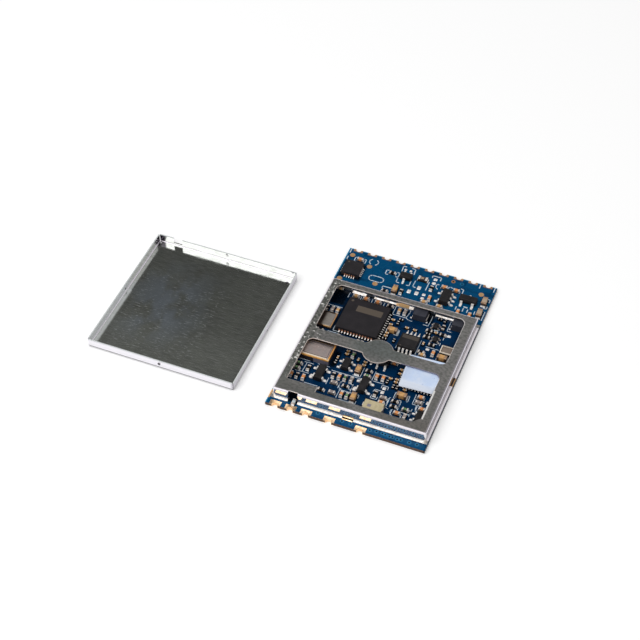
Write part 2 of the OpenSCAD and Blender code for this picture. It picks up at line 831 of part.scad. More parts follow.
module crystal_lids() {
    color([0.45, 0.43, 0.4])
        union() {
            spot(xtal_at, 0)
                can_lid(xtal_w, xtal_l, xtal_h, xtal_rim_w);
            spot(small_xtal_at, 0)
                can_lid(small_xtal_l, small_xtal_w, xtal_h, xtal_rim_w);
        }
}

module inductor_cores() {
    color([0.2, 0.2, 0.25])
        for (p = coil_at)
            spot(p, 0)
                block([-coil_l / 2, -coil_w / 2, top], [coil_l / 2, coil_w / 2, top + coil_h]);
}

module inductor_terminals() {
    color([0.85, 0.85, 0.85])
        for (p = coil_at)
            for (turn = [0, 180])
                spot(p, turn)
                    block([coil_l / 2, -coil_w * 0.4, top],
                        [coil_l / 2 + coil_end, coil_w * 0.4, top + coil_h * 0.35]);
}

module filter_block() {
    color([0.72, 0.7, 0.56])
        spot(filter_at, 0)
            block([-filter_l / 2, -filter_w / 2, top], [filter_l / 2, filter_w / 2, top + filter_h]);
}

module filter_terminals() {
    color([0.8, 0.78, 0.76])
        for (turn = [0, 180])
            spot(filter_at, turn)
                block([filter_l / 2, -0.35, top], [filter_l / 2 + 0.1, 0.35, top + filter_h]);
}

// Bodies and end caps of the chip parts
module chip_bodies(places, l, w, h) {
    cap = l * cap_share;
    for (p = places)
        spot(p, p[2])
            block([cap - l / 2, cap_lip - w / 2, top + cap_lip],
                [l / 2 - cap, w / 2 - cap_lip, top + h - cap_lip]);
}

module chip_caps(places, l, w, h) {
    cap = l * cap_share;
    for (p = places)
        for (turn = [0, 180])
            spot(p, p[2] + turn)
                block([l / 2 - cap, -w / 2, top], [l / 2, w / 2, top + h]);
}

module tan_capacitors() {
    color([0.78, 0.6, 0.38])
        chip_bodies(tan_at, mid_l, mid_w, mid_h);
}

module orange_capacitors() {
    color([0.84, 0.52, 0.26])
        chip_bodies(orange_at, mid_l, mid_w, mid_h);
}

module grey_capacitors() {
    color([0.68, 0.62, 0.6])
        chip_bodies(grey_at, mid_l, mid_w, mid_h);
}

module marked_coils() {
    color([0.3, 0.5, 0.28])
        chip_bodies(marked_at, mid_l, mid_w, mid_h);
}

module resistors() {
    color([0.1, 0.1, 0.1])
        chip_bodies(resistor_at, mid_l, mid_w, flat_h);
}

module antenna_capacitor() {
    color([0.85, 0.88, 0.88])
        chip_bodies([[antenna_at[0], antenna_at[1], 90]], mid_l, mid_w, mid_h);
}

module ferrite_body() {
    color([0.5, 0.47, 0.45])
        chip_bodies([[ferrite_at[0], ferrite_at[1], 0]], big_l, big_w, mid_h);
}

module large_capacitors() {
    color([0.78, 0.6, 0.38])
        chip_bodies(large_at, big_l, big_w, big_h);
}

module small_capacitors() {
    color([0.8, 0.6, 0.38])
        chip_bodies(small_cap_at, tiny_l, tiny_w, tiny_h);
}

module small_resistors() {
    color([0.12, 0.11, 0.11])
        chip_bodies(small_res_at, tiny_l, tiny_w, tiny_h);
}

module middle_end_caps() {
    color([0.85, 0.84, 0.82]) {
        chip_caps(tan_at, mid_l, mid_w, mid_h);
        chip_caps(orange_at, mid_l, mid_w, mid_h);
        chip_caps(grey_at, mid_l, mid_w, mid_h);
        chip_caps(marked_at, mid_l, mid_w, mid_h);
        chip_caps([[antenna_at[0], antenna_at[1], 90]], mid_l, mid_w, mid_h);
    }
}

module resistor_end_caps() {
    color([0.85, 0.84, 0.82])
        chip_caps(resistor_at, mid_l, mid_w, flat_h);
}

module large_end_caps() {
    color([0.85, 0.84, 0.82]) {
        chip_caps(large_at, big_l, big_w, big_h);
        chip_caps([[ferrite_at[0], ferrite_at[1], 0]], big_l, big_w, mid_h);
    }
}

module small_end_caps() {
    color([0.85, 0.84, 0.82]) {
        chip_caps(small_cap_at, tiny_l, tiny_w, tiny_h);
        chip_caps(small_res_at, tiny_l, tiny_w, tiny_h);
    }
}

circuit_board();
rear_edge_pads();
front_edge_pads();
test_pads();
ground_strip();
tinned_pads();
shield_frame();
shield_lid();
video_chip_body();
video_chip_leads();
tuner_chip_body();
tuner_chip_leads();
thermal_pad();
controller_chip_body();
controller_chip_leads();
amplifier_body();
amplifier_leads();
regulator_body();
regulator_leads();
rear_transistor_body();
rear_transistor_leads();
buffer_transistor_body();
buffer_transistor_leads();
radio_transistor_bodies();
radio_transistor_leads();
mixer_transistor_body();
mixer_transistor_leads();
switch_transistor_bodies();
switch_transistor_leads();
tiny_transistor_bodies();
tiny_transistor_leads();
oscillator_base();
oscillator_rim();
oscillator_lid();
crystal_bases();
crystal_rims();
crystal_lids();
inductor_cores();
inductor_terminals();
filter_block();
filter_terminals();
tan_capacitors();
orange_capacitors();
grey_capacitors();
marked_coils();
resistors();
antenna_capacitor();
ferrite_body();
large_capacitors();
small_capacitors();
small_resistors();
middle_end_caps();
resistor_end_caps();
large_end_caps();
small_end_caps();
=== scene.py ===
"""Looks of the video receiver module: its board, shield frame, open lid, chips and small parts.

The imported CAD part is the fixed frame. Sizes in this file are millimetres on the part's own axes
(X right, Y away, Z up, origin in the middle of the board's underside) and become metres at the end.
"""

from __future__ import annotations

import json
import logging
import math
from collections.abc import Callable, Iterable, Sequence
from dataclasses import dataclass, field
from enum import Enum
from functools import cache, cached_property
from typing import Any

import bpy
from mathutils import Matrix, Vector

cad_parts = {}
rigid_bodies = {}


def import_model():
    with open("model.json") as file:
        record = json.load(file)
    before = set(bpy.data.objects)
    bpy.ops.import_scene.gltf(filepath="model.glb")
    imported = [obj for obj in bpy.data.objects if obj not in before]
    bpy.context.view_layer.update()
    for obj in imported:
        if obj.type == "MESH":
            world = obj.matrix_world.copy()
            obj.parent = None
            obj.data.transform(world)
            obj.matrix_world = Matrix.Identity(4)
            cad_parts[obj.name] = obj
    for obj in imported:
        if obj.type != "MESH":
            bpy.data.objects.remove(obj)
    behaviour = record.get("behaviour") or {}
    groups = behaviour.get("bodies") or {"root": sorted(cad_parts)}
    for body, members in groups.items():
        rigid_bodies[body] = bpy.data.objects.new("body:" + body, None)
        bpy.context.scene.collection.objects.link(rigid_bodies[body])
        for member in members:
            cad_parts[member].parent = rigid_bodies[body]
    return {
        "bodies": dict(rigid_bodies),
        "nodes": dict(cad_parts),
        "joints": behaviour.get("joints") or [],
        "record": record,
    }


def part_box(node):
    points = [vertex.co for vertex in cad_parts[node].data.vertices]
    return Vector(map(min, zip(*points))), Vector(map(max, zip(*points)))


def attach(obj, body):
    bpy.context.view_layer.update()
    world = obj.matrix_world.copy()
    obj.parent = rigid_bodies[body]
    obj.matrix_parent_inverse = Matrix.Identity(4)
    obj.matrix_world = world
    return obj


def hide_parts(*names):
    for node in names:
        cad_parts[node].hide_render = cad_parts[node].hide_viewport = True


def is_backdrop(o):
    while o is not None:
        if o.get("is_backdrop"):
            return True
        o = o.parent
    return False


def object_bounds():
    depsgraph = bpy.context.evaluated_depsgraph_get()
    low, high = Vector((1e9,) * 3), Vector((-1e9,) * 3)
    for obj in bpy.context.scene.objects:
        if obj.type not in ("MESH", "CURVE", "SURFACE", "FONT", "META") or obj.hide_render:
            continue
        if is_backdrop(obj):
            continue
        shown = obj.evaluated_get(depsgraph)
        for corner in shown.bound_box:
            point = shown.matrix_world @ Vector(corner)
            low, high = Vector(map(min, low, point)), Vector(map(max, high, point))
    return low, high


LOG = logging.getLogger("video_receiver")
MM = 0.001
SHARP = math.radians(40)
RIGHT, BACK, LEFT, FRONT = (Vector(way) for way in ((1, 0, 0), (0, 1, 0), (-1, 0, 0), (0, -1, 0)))

# Settings of shader nodes, levels of noise that give zero and one, and the spread of a roughness
RGBA = {"data_type": "RGBA"}
SMOOTH = {"interpolation_type": "SMOOTHSTEP"}
PATCHY, GRAINY, STREAKY = (0.35, 0.7), (0.2, 0.8), (0.3, 0.7)
ROUGHER = 0.14

# Height above a copy's foot from which its corners move at random, and the even share of that move
RAISED, EVEN = 0.002, 0.2

Colour = tuple[float, float, float, float]
Point = tuple[float, float]
Area = tuple[Point, Point]
TintedArea = tuple[Point, Point, str]
Share = tuple[Point, Point, float]
Spot = tuple[Sequence[float], Vector, Sequence[float]]
Rectangle = tuple[float, float, float, float]
Loaf = tuple[float, float, int]
Socket = bpy.types.NodeSocket
MeshObject = bpy.types.Object


# Meshes


@dataclass(frozen=True)
class Box:
    """An upright box in millimetres."""

    low: Vector
    high: Vector

    @classmethod
    def around(cls, points: Sequence[Vector]) -> Box:
        """Smallest box that holds these points."""
        return cls(*(Vector([end(p[i] for p in points) for i in range(3)]) for end in (min, max)))

    @property
    def middle(self) -> Vector:
        """Centre of the box."""
        return (self.low + self.high) / 2

    @property
    def size(self) -> Vector:
        """Lengths of the box along X, Y and Z."""
        return self.high - self.low

    def span(self, way: Vector) -> Point:
        """Lengths of the box along and across a level axis."""
        return (self.size.x, self.size.y) if abs(way.x) > abs(way.y) else (self.size.y, self.size.x)


def outward(off: Vector) -> Vector:
    """Finds the level axis that lies nearest to a direction."""
    sideways = abs(off.x) > abs(off.y)
    return (RIGHT if off.x > 0 else LEFT) if sideways else (BACK if off.y > 0 else FRONT)


def islands(node: MeshObject) -> list[Box]:
    """Finds the separate solids of a CAD node.

    Args:
        node: mesh object of the node, made of loose triangles.

    Returns:
        The box of each solid, from left to right.
    """
    keys = [tuple(round(c * 1e7) for c in v.co) for v in node.data.vertices]
    leader = {key: key for key in keys}

    def find(key: tuple[int, ...]) -> tuple[int, ...]:
        """Follows a corner to the one that leads its solid.

        Args:
            key: the corner.

        Returns:
            The leading corner.
        """
        while leader[key] != key:
            leader[key] = key = leader[leader[key]]
        return key

    for polygon in node.data.polygons:
        first, *others = (keys[index] for index in polygon.vertices)
        for key in others:
            leader[find(key)] = find(first)
    groups: dict[tuple[int, ...], list[Vector]] = {}
    for key in leader:
        groups.setdefault(find(key), []).append(Vector(key) * 1e-4)
    boxes = [Box.around(points) for points in groups.values()]
    return sorted(boxes, key=lambda b: (round(b.low.x, 3), round(b.low.y, 3)))


def only(obj: MeshObject) -> None:
    """Selects an object alone and makes it the active one.

    Args:
        obj: object in object mode.
    """
    bpy.ops.object.select_all(action="DESELECT")
    obj.select_set(True)
    bpy.context.view_layer.objects.active = obj


def pick(obj: MeshObject, mode: str, test: Callable[[Vector], bool]) -> None:
    """Selects the vertices, edges or faces of an object in edit mode by a test on their middle.

    Args:
        obj: object that is in edit mode.
        mode: VERT, EDGE or FACE.
        test: takes the element's middle in the object's own units and returns whether it is selected.
    """
    bpy.ops.mesh.select_mode(type=mode)
    bpy.ops.mesh.select_all(action="DESELECT")
    bpy.ops.object.mode_set(mode="OBJECT")
    mesh = obj.data
    points = [v.co for v in mesh.vertices]
    if mode == "VERT":
        middles = zip(mesh.vertices, points)
    elif mode == "EDGE":
        middles = ((e, (points[e.vertices[0]] + points[e.vertices[1]]) / 2) for e in mesh.edges)
    else:
        middles = ((face, face.center) for face in mesh.polygons)
    for element, middle in middles:
        element.select = bool(test(middle))
    bpy.ops.object.mode_set(mode="EDIT")


def new_cube(name: str, size: Sequence[float], place: Sequence[float]) -> MeshObject:
    """Adds a cube primitive in millimetres as the start of a piece and leaves it in edit mode.

    Args:
        name: name of the object.
        size: lengths along X, Y and Z.
        place: centre of the cube.

    Returns:
        The new object, whose own place is the origin.
    """
    bpy.ops.object.select_all(action="DESELECT")
    bpy.ops.mesh.primitive_cube_add(size=1, location=(0, 0, 0))
    obj = bpy.context.object
    obj.name = name
    bpy.ops.object.mode_set(mode="EDIT")
    bpy.ops.transform.resize(value=tuple(size), center_override=(0, 0, 0))
    bpy.ops.transform.translate(value=tuple(place))
    return obj


def wedge(way: Vector, drop: float) -> MeshObject:
    """Starts a wedge one millimetre long, wide and high.

    Args:
        way: level axis along which it slopes down from the origin.
        drop: how far its outer top edge is lowered.

    Returns:
        The wedge in edit mode, with the lowered edge selected.
    """
    piece = new_cube("template", (1, 1, 1), way / 2 + Vector((0, 0, 0.5)))
    pick(piece, "EDGE", lambda m: m.dot(way) > 0.9 and m.z > 0.9)
    bpy.ops.transform.translate(value=(0, 0, -drop))
    return piece


def loaf(top: float, rounding: float, segments: int) -> MeshObject:
    """Starts a loaf one millimetre long, wide and high.

    Args:
        top: size of its top as a share of its foot.
        rounding: radius of its edges.
        segments: steps of each rounded edge.

    Returns:
        The loaf in edit mode.
    """
    piece = new_cube("template", (1, 1, 1), (0, 0, 0.5))
    pick(piece, "FACE", lambda m: m.z > 0.9)
    bpy.ops.transform.resize(value=(top, top, 1), center_override=(0, 0, 1))
    bpy.ops.mesh.select_all(action="SELECT")
    bpy.ops.mesh.bevel(offset=rounding, segments=segments, affect="EDGES")
    return piece


def to_metres(obj: MeshObject, smooth_angle: float = SHARP) -> MeshObject:
    """Ends a piece that was modelled in millimetres: object mode, smooth shading, metres.

    Args:
        obj: piece, in object or edit mode.
        smooth_angle: edges that turn by less are shaded smooth.

    Returns:
        The same object, at the origin and unscaled.
    """
    if bpy.context.mode != "OBJECT":
        bpy.ops.object.mode_set(mode="OBJECT")
    only(obj)
    bpy.ops.transform.resize(value=(MM, MM, MM), center_override=(0, 0, 0))
    bpy.ops.object.transform_apply(location=True, rotation=True, scale=True)
    bpy.ops.object.shade_smooth_by_angle(angle=smooth_angle)
    return obj


def apply_modifier(obj: MeshObject, kind: str, **settings: Any) -> None:
    """Adds a modifier to an object and applies it.

    Args:
        obj: object in object mode.
        kind: Blender's name of the modifier.
        settings: values of the modifier's own properties.
    """
    only(obj)
    modifier = obj.modifiers.new(kind.lower(), kind)
    for name, value in settings.items():
        setattr(modifier, name, value)
    bpy.ops.object.modifier_apply(modifier=modifier.name)


def scatter(name: str, template: MeshObject, spots: Iterable[Spot], rough: float = 0.0) -> MeshObject:
    """Models a piece as copies of a template, each with its own mesh, and removes the template.

    Args:
        name: name of the piece.
        template: object in millimetres around the origin, in edit mode.
        spots: place, direction of the template's X axis and factors on its own axes for each copy.
        rough: how far the raised corners of each copy are moved at random.

    Returns:
        The joined piece in metres.
    """
    bpy.ops.object.mode_set(mode="OBJECT")
    copies = []
    for seed, (place, way, scale) in enumerate(spots, 1):
        copy = template.copy()
        copy.data = template.data.copy()
        turn = Matrix.Rotation(math.atan2(way.y, way.x), 4, "Z")
        copy.data.transform(Matrix.Translation(Vector(place)) @ turn @ Matrix.Diagonal((*scale, 1)))
        bpy.context.scene.collection.objects.link(copy)
        copies.append(copy)
        if rough:
            only(copy)
            bpy.ops.object.mode_set(mode="EDIT")
            pick(copy, "VERT", lambda m, floor=place[2] + RAISED: m.z > floor)
            bpy.ops.transform.vertex_random(offset=rough, uniform=EVEN, normal=0.0, seed=seed)
            bpy.ops.object.mode_set(mode="OBJECT")
    bpy.ops.object.select_all(action="DESELECT")
    for copy in copies:
        copy.select_set(True)
    bpy.context.view_layer.objects.active = copies[0]
    bpy.ops.object.join()
    piece = bpy.context.object
    piece.name = name
    bpy.data.objects.remove(template)
    return to_metres(piece)


# Finishes


def linear(hex_colour: str) -> Colour:
    """Turns an sRGB hex colour into the linear colour that shaders take.

    Args:
        hex_colour: a hash and six hex digits.

    Returns:
        Linear red, green, blue and an alpha of one.
    """
    levels = [int(hex_colour[start : start + 2], 16) / 255 for start in (1, 3, 5)]
    red, green, blue = (v / 12.92 if v <= 0.04045 else ((v + 0.055) / 1.055) ** 2.4 for v in levels)
    return (red, green, blue, 1.0)


def per_mm(size: float) -> float:
    """Texture scale on metres that gives a pattern features of this many millimetres."""
    return 1 / (size * MM)


@dataclass(frozen=True)
class Canvas:
    """Shader nodes of one material, and the patterns that finishes draw with them."""

    tree: bpy.types.NodeTree

    @classmethod
    def of(cls, owner: bpy.types.Material | bpy.types.World) -> Canvas:
        """Empties a material's or world's nodes to draw on.

        Args:
            owner: the material or world.

        Returns:
            Its empty canvas.
        """
        owner.use_nodes = True
        owner.node_tree.nodes.clear()
        return cls(owner.node_tree)

    def add(self, kind: str, inputs: Any = (), out: int | str = 0, **settings: Any) -> Socket:
        """Adds one shader node with its settings and links.

        Args:
            kind: Blender's name of the node type, without its ShaderNode prefix.
            inputs: values or output sockets for the inputs in use, in order or by name.
            out: number or name of the output that is wanted.
            settings: values of the node's own properties.

        Returns:
            The wanted output, or the first input of a node that has no output.
        """
        node = self.tree.nodes.new("ShaderNode" + kind)
        for name, value in settings.items():
            setattr(node, name, value)
        sockets = [socket for socket in node.inputs if socket.enabled]
        by_name = {socket.name: socket for socket in reversed(sockets)}
        for key, value in inputs.items() if isinstance(inputs, dict) else enumerate(inputs):
            socket = by_name[key] if isinstance(key, str) else sockets[key]
            if isinstance(value, Socket):
                self.tree.links.new(value, socket)
            else:
                socket.default_value = value
        outputs = [socket for socket in node.outputs if socket.enabled]
        if not outputs:
            return sockets[0]
        return outputs[out] if isinstance(out, int) else node.outputs[out]

    @cached_property
    def point(self) -> Socket:
        """Place on the part in metres."""
        return self.add("TexCoord", out="Object")

    @cached_property
    def level(self) -> Socket:
        """One where the surface lies flat, falling to zero where it stands upright."""
        normal = self.add("NewGeometry", out="True Normal")
        return self.add("Math", (self.add("SeparateXYZ", (normal,), out=2),), operation="ABSOLUTE")

    @cached_property
    def up(self) -> Socket:
        """One on faces that look up or down, zero on upright walls."""
        return self.add("MapRange", (self.level, 0.55, 0.9), **SMOOTH)

    def cloud(self, size: float, levels: Point, stretch: Sequence[float] = (1, 1, 1)) -> Socket:
        """Soft random patches.

        Args:
            size: width of the patches in millimetres.
            levels: levels of the noise that give zero and one.
            stretch: how much longer the patches are along X, Y and Z.

        Returns:
            A value from 0 to 1.
        """
        spread = self.add("Mapping", {"Vector": self.point, "Scale": [1 / s for s in stretch]})
        noise = self.add("TexNoise", {"Vector": spread, "Scale": per_mm(size), "Detail": 4.0})
        return self.add("MapRange", (noise, *levels), **SMOOTH)

    def rectangle(self, middle: Point, size: Point, soft: float = 0.05) -> Socket:
        """Mask of an upright rectangle seen from above.

        Args:
            middle: its centre in millimetres.
            size: its width and depth in millimetres.
            soft: width of its soft edge in millimetres.

        Returns:
            One inside and zero outside.
        """
        offset = (-middle[0] * MM, -middle[1] * MM, 0)
        moved = self.add("Mapping", {"Vector": self.point, "Location": offset})
        away = self.add("VectorMath", (moved,), operation="ABSOLUTE")
        sides = []
        for axis, length in enumerate(size):
            reach = self.add("SeparateXYZ", (away,), out=axis)
            ends = ((length + soft) / 2 * MM, (length - soft) / 2 * MM)
            sides.append(self.add("MapRange", (reach, *ends), **SMOOTH))
        return self.add("Math", sides, operation="MULTIPLY")

    def disc(self, middle: Sequence[float], diameter: float, soft: float = 0.06) -> Socket:
        """Mask of a round spot seen from above, or of a ball where the middle has a height.

        Args:
            middle: its centre in millimetres.
            diameter: its width in millimetres.
            soft: width of its soft edge in millimetres.

        Returns:
            One inside and zero outside.
        """
        offset = Vector((*middle, 0)[:3]) * -MM
        place = {"Vector": self.point, "Location": offset, "Scale": (1, 1, len(middle) - 2)}
        away = self.add("VectorMath", (self.add("Mapping", place),), out="Value", operation="LENGTH")
        ends = ((diameter + soft) / 2 * MM, (diameter - soft) / 2 * MM)
        return self.add("MapRange", (away, *ends), **SMOOTH)

    def layered(self, colour: Any, *layers: tuple[Any, Any]) -> Any:
        """Lays colours over one another.

        Args:
            colour: hex colour or pattern at the bottom.
            layers: mask, and hex colour or pattern, of each layer above it.

        Returns:
            The colour that shows, or the bottom one if there is no layer.
        """
        for mask, over in layers:
            tones = [linear(tone) if isinstance(tone, str) else tone for tone in (colour, over)]
            colour = self.add("Mix", (mask, *tones), **RGBA)
        return colour


@dataclass(frozen=True)
class Finish:
    """A surface finish that can be put on CAD nodes and on new pieces."""

    name: str

    def surface(self, on: Canvas) -> dict[str, Any]:
        """Makes the finish's own pattern.

        Args:
            on: the material's nodes.

        Returns:
            A value or a pattern for each input of the shader that the finish sets.
        """
        raise NotImplementedError

    @cache
    def material(self) -> bpy.types.Material:
        """Makes the Blender material of this finish once.

        Returns:
            The material.
        """
        made = bpy.data.materials.new(self.name)
        on = Canvas.of(made)
        on.add("OutputMaterial", (on.add("BsdfPrincipled", self.surface(on)),))
        return made

    def put_on(self, obj: MeshObject) -> None:
        """Puts the finish on every face of an object."""
        obj.data.materials.clear()
        obj.data.materials.append(self.material())


@dataclass(frozen=True)
class SolderMask(Finish):
    """Glossy blue epoxy mask over etched copper on a glass-epoxy laminate.

    The copper shows through as lighter land between darker gaps, and the radio part inside the frame is
    darkened as painted shade. Listed areas by the walls, round chips, under legs and along the right seam
    are painted near black as painted shade. Holes under the mask show as dark dots with a pale ring, and
    the sawn edge shows brown-grey laminate, darkened beside the frame as painted shade, with bare gold at
    one edge contact.
    """

    over_copper: str = "#004A74"
    over_gap: str = "#003659"
    # near-black colour of the painted shade in the shaded areas
    mask_shade: str = "#000B18"
    land: float = 1.5
    shade_size: float = 3.2
    weave: float = 0.25
    gap: Point = (0.42, 0.5)
    # painted shade: the radio part inside the frame is multiplied by this colour
    inside: str = "#A2A2B4"
    framed: Area = ((0.085, -3.84), (24.7, 25.3))
    hole: str = "#011726"
    hole_size: Point = (0.32, 0.14)
    hole_ring: str = "#3C94C4"
    ring_size: Point = (0.62, 0.3)
    ring_share: float = 0.5
    gold_hole: Point = (5.75, 17.04)
    hole_gold: str = "#B0804E"
    gold_sizes: Point = (0.66, 0.34)
    laminate: str = "#5A463D"
    fibres: str = "#7A6355"
    # dark colour of the sawn edge beside the frame's right wall: painted shade
    dark: str = "#190F0A"
    shaded_side: Area = ((13.0, -4.6), (0.3, 27.8))
    edge_gold: str = "#E2B27A"
    edge_contact: Area = ((-13.0, -16.3), (0.5, 1.7))
    rim: str = "#4E9CC4"
    rimless: Area = ((0.6, -0.6), (26.9, 37.4))
    # areas painted near black as painted shade: by the walls, round chips, under legs, along the right seam
    shaded_areas: tuple[Area, ...] = (
        ((-10.4, 6.9), (2.4, 3.4)), ((-11.4, -4.3), (2.0, 1.0)), ((-6.1, -6.1), (1.0, 3.4)),
        ((5.0, 7.6), (1.1, 2.2)), ((-5.03, 3.3), (8.0, 8.0)), ((8.0, -4.4), (7.0, 7.0)),
        ((-10.7, 13.3), (3.8, 3.8)), ((3.55, -0.9), (3.4, 1.0)), ((-9.05, -15.6), (2.2, 2.4)),
        ((12.97, -3.84), (0.16, 26.0)),
    )
    holes: tuple[Point, ...] = (
        (3.94, -17.52), (5.0, -17.37), (5.96, -17.37), (6.44, -17.45), (7.14, -17.57), (7.61, -17.51),
        (8.43, -17.64), (8.94, -17.56), (10.3, -17.55), (11.53, -17.49), (-4.6, -17.3), (-3.3, -17.25),
        (-0.6, -17.4), (0.8, -17.45), (2.45, -17.25), (-9.9, 9.9), (-2.9, 9.7), (7.25, 17.04),
    )

    def surface(self, on: Canvas) -> dict[str, Any]:
        """Draws copper lands, gaps, painted shade, holes under the mask and the sawn edge.

        Args:
            on: the material's nodes.

        Returns:
            The shader's inputs.
        """
        cells = {"Vector": on.point, "Scale": per_mm(self.land), "Randomness": 0.8}
        lands = on.add("TexVoronoi", cells, feature="F1", distance="CHEBYCHEV")
        gaps = on.add("MapRange", (lands, *self.gap), **SMOOTH)
        shade = on.add("Math", (gaps, on.cloud(self.shade_size, (0.35, 0.65))), operation="MULTIPLY")
        colour = on.layered(self.over_copper, (shade, self.over_gap))
        # painted shade darkens the board inside the frame
        radio = on.rectangle(*self.framed, soft=0.4)
        colour = on.add("Mix", (radio, colour, linear(self.inside)), blend_type="MULTIPLY", **RGBA)
        # painted shade in the shaded areas
        layers = [(on.rectangle(*area, soft=0.6), self.mask_shade) for area in self.shaded_areas]
        for place in self.holes:
            ring = on.add("Math", (on.disc(place, *self.ring_size), self.ring_share), operation="MULTIPLY")
            layers += [(ring, self.hole_ring), (on.disc(place, *self.hole_size), self.hole)]
        for wide, tone in zip(self.gold_sizes, (self.hole_gold, self.hole)):
            layers.append((on.disc(self.gold_hole, wide, 0.12), tone))
        colour = on.layered(colour, *layers)
        weave = on.cloud(self.weave, (0.4, 0.65))
        contact = (on.rectangle(*self.edge_contact), self.edge_gold)
        # painted shade on the sawn edge beside the frame
        side_shade = (on.rectangle(*self.shaded_side), self.dark)
        edge = on.layered(self.laminate, (weave, self.fibres), side_shade, contact)
        colour = on.layered(self.rim, (on.rectangle(*self.rimless, soft=0.08), colour), contact)
        sunk = on.add("Math", (weave, 0.2, gaps), operation="MULTIPLY_ADD")
        relief = {"Height": sunk, "Distance": 0.01 * MM, "Strength": 0.5}
        return {
            "Base Color": on.layered(edge, (on.up, colour)),
            "Roughness": on.add("MapRange", (weave, 0.0, 1.0, 0.2, 0.3)),
            "Normal": on.add("Bump", relief, invert=True),
            "IOR": 1.5,
            "Specular IOR Level": 0.1,
        }


@dataclass(frozen=True)
class SilkInk(Finish):
    """Pale screen-printed epoxy ink: matt, and thinner in patches where the blue shows through."""

    ink: str = "#D4E0EA"
    thin_ink: str = "#98B8CE"
    patch_size: float = 0.4

    def surface(self, on: Canvas) -> dict[str, Any]:
        """Thins the ink in patches.

        Args:
            on: the material's nodes.

        Returns:
            The shader's inputs.
        """
        thin = on.cloud(self.patch_size, (0.5, 0.75))
        return {"Base Color": on.layered(self.ink, (thin, self.thin_ink)), "Roughness": 0.6}


@dataclass(frozen=True)
class PlatedMetal(Finish):
    """Plated or tinned metal, such as gold flash over nickel, bright tin or reflowed solder.

    It mirrors the studio softly, its grain and handling cloud it in patches, and a grain too fine to
    draw scatters part of the light, which a metal share below one stands for. Listed rectangles are
    recoloured: some are marks of the metal, and many are painted highlights on lit edges and painted shade
    where a neighbour shades the metal. Upright faces can take a darker colour as painted shade.
    """

    bright: str = "#E6E6E6"
    dull: str = "#C4C3C0"
    rough: float = 0.24
    grain: float = 0.5
    depth: float = 0.01
    metal: float = 1.0
    # colour of upright faces, if given: darker, as painted shade on the sides
    side: str = ""
    spot_metal: float = 1.0
    # recoloured rectangles: marks of the metal, painted highlights and painted shade
    stains_and_painted_light: tuple[TintedArea, ...] = ()

    def surface(self, on: Canvas) -> dict[str, Any]:
        """Clouds the metal, recolours listed rectangles with marks, painted highlights and shade, and gives
        it a grain.

        Args:
            on: the material's nodes.

        Returns:
            The shader's inputs.
        """
        patch = on.cloud(self.grain, PATCHY)
        fine = on.cloud(self.grain * 0.4, GRAINY)
        relief = {"Height": fine, "Distance": self.depth * MM, "Strength": 0.7}
        metal: Any = self.metal
        colour = on.layered(self.bright, (patch, self.dull))
        for middle, size, spot_tone in self.stains_and_painted_light:
            spot = on.rectangle(middle, size, min(size) / 2)
            colour = on.layered(colour, (spot, spot_tone))
            metal = on.add("Mix", (spot, metal, self.metal * self.spot_metal))
        return {
            "Base Color": on.layered(self.side, (on.up, colour)) if self.side else colour,
            "Roughness": on.add("MapRange", (patch, 0.0, 1.0, self.rough, self.rough + ROUGHER)),
            "Normal": on.add("Bump", relief),
            "Metallic": metal,
        }


@dataclass(frozen=True)
class GroundStrip(Finish):
    """Ground strip under the frame's walls: rippled bright solder, and bare gold in the foot notches.

    Along the inside of the rear wall the mask still covers some stretches of it, which stay dark, and the
    slot of the front notch and the recess of the right notch are painted dark as painted shade.
    """

    solder: str = "#F2EFEA"
    flux: str = "#CFC4B4"
    ripple_size: float = 0.9
    gold: str = "#F4C68C"
    middle: Point = (0.085, -3.84)
    notch: float = 1.75
    across: float = 60.0
    bare: tuple[Area, ...] = (((-11.0, 8.6), (0.5, 0.5)), ((-0.3, 8.6), (2.0, 0.5)))
    # painted shade in the recess of the right foot notch
    notch_shade: str = "#5A4C4E"
    shaded_notch: Area = ((12.5, -3.7), (0.46, 1.9))
    # dark where the mask lies on the strip, and painted shade in the slot of the front notch (first area)
    covered_and_shaded: str = "#050D16"
    masked_and_shaded: tuple[Area, ...] = (
        ((0.085, -16.74), (1.75, 0.4)), ((-9.7, 8.6), (1.6, 0.5)), ((-5.8, 8.6), (1.4, 0.5)),
        ((3.6, 8.6), (3.8, 0.5)), ((10.8, 8.6), (3.8, 0.5)), ((-3.15, 8.48), (3.7, 0.2)),
        ((7.25, 8.48), (3.4, 0.2)),
    )

    def surface(self, on: Canvas) -> dict[str, Any]:
        """Leaves notches and two dry spots gold, ripples the solder, darkens under the mask and paints
        notch shade.

        Args:
            on: the material's nodes.

        Returns:
            The shader's inputs.
        """
        dry = on.rectangle(self.middle, (self.notch, self.across))
        for spot in ((self.middle, (self.across, self.notch)), *self.bare):
            dry = on.add("Math", (dry, on.rectangle(*spot)), operation="MAXIMUM")
        ripple = on.cloud(self.ripple_size, PATCHY)
        layers = [(ripple, self.flux), (dry, self.gold)]
        layers += [(on.rectangle(*spot), self.covered_and_shaded) for spot in self.masked_and_shaded]
        layers.append((on.rectangle(*self.shaded_notch), self.notch_shade))
        return {
            "Base Color": on.layered(self.solder, *layers),
            "Roughness": on.add("MapRange", (ripple, 0.0, 1.0, 0.3, 0.42)),
            "Normal": on.add("Bump", {"Height": ripple, "Distance": 0.02 * MM, "Strength": 0.6}),
            "Metallic": on.add("MapRange", (dry, 0.0, 1.0, 1.0, 0.25)),
        }


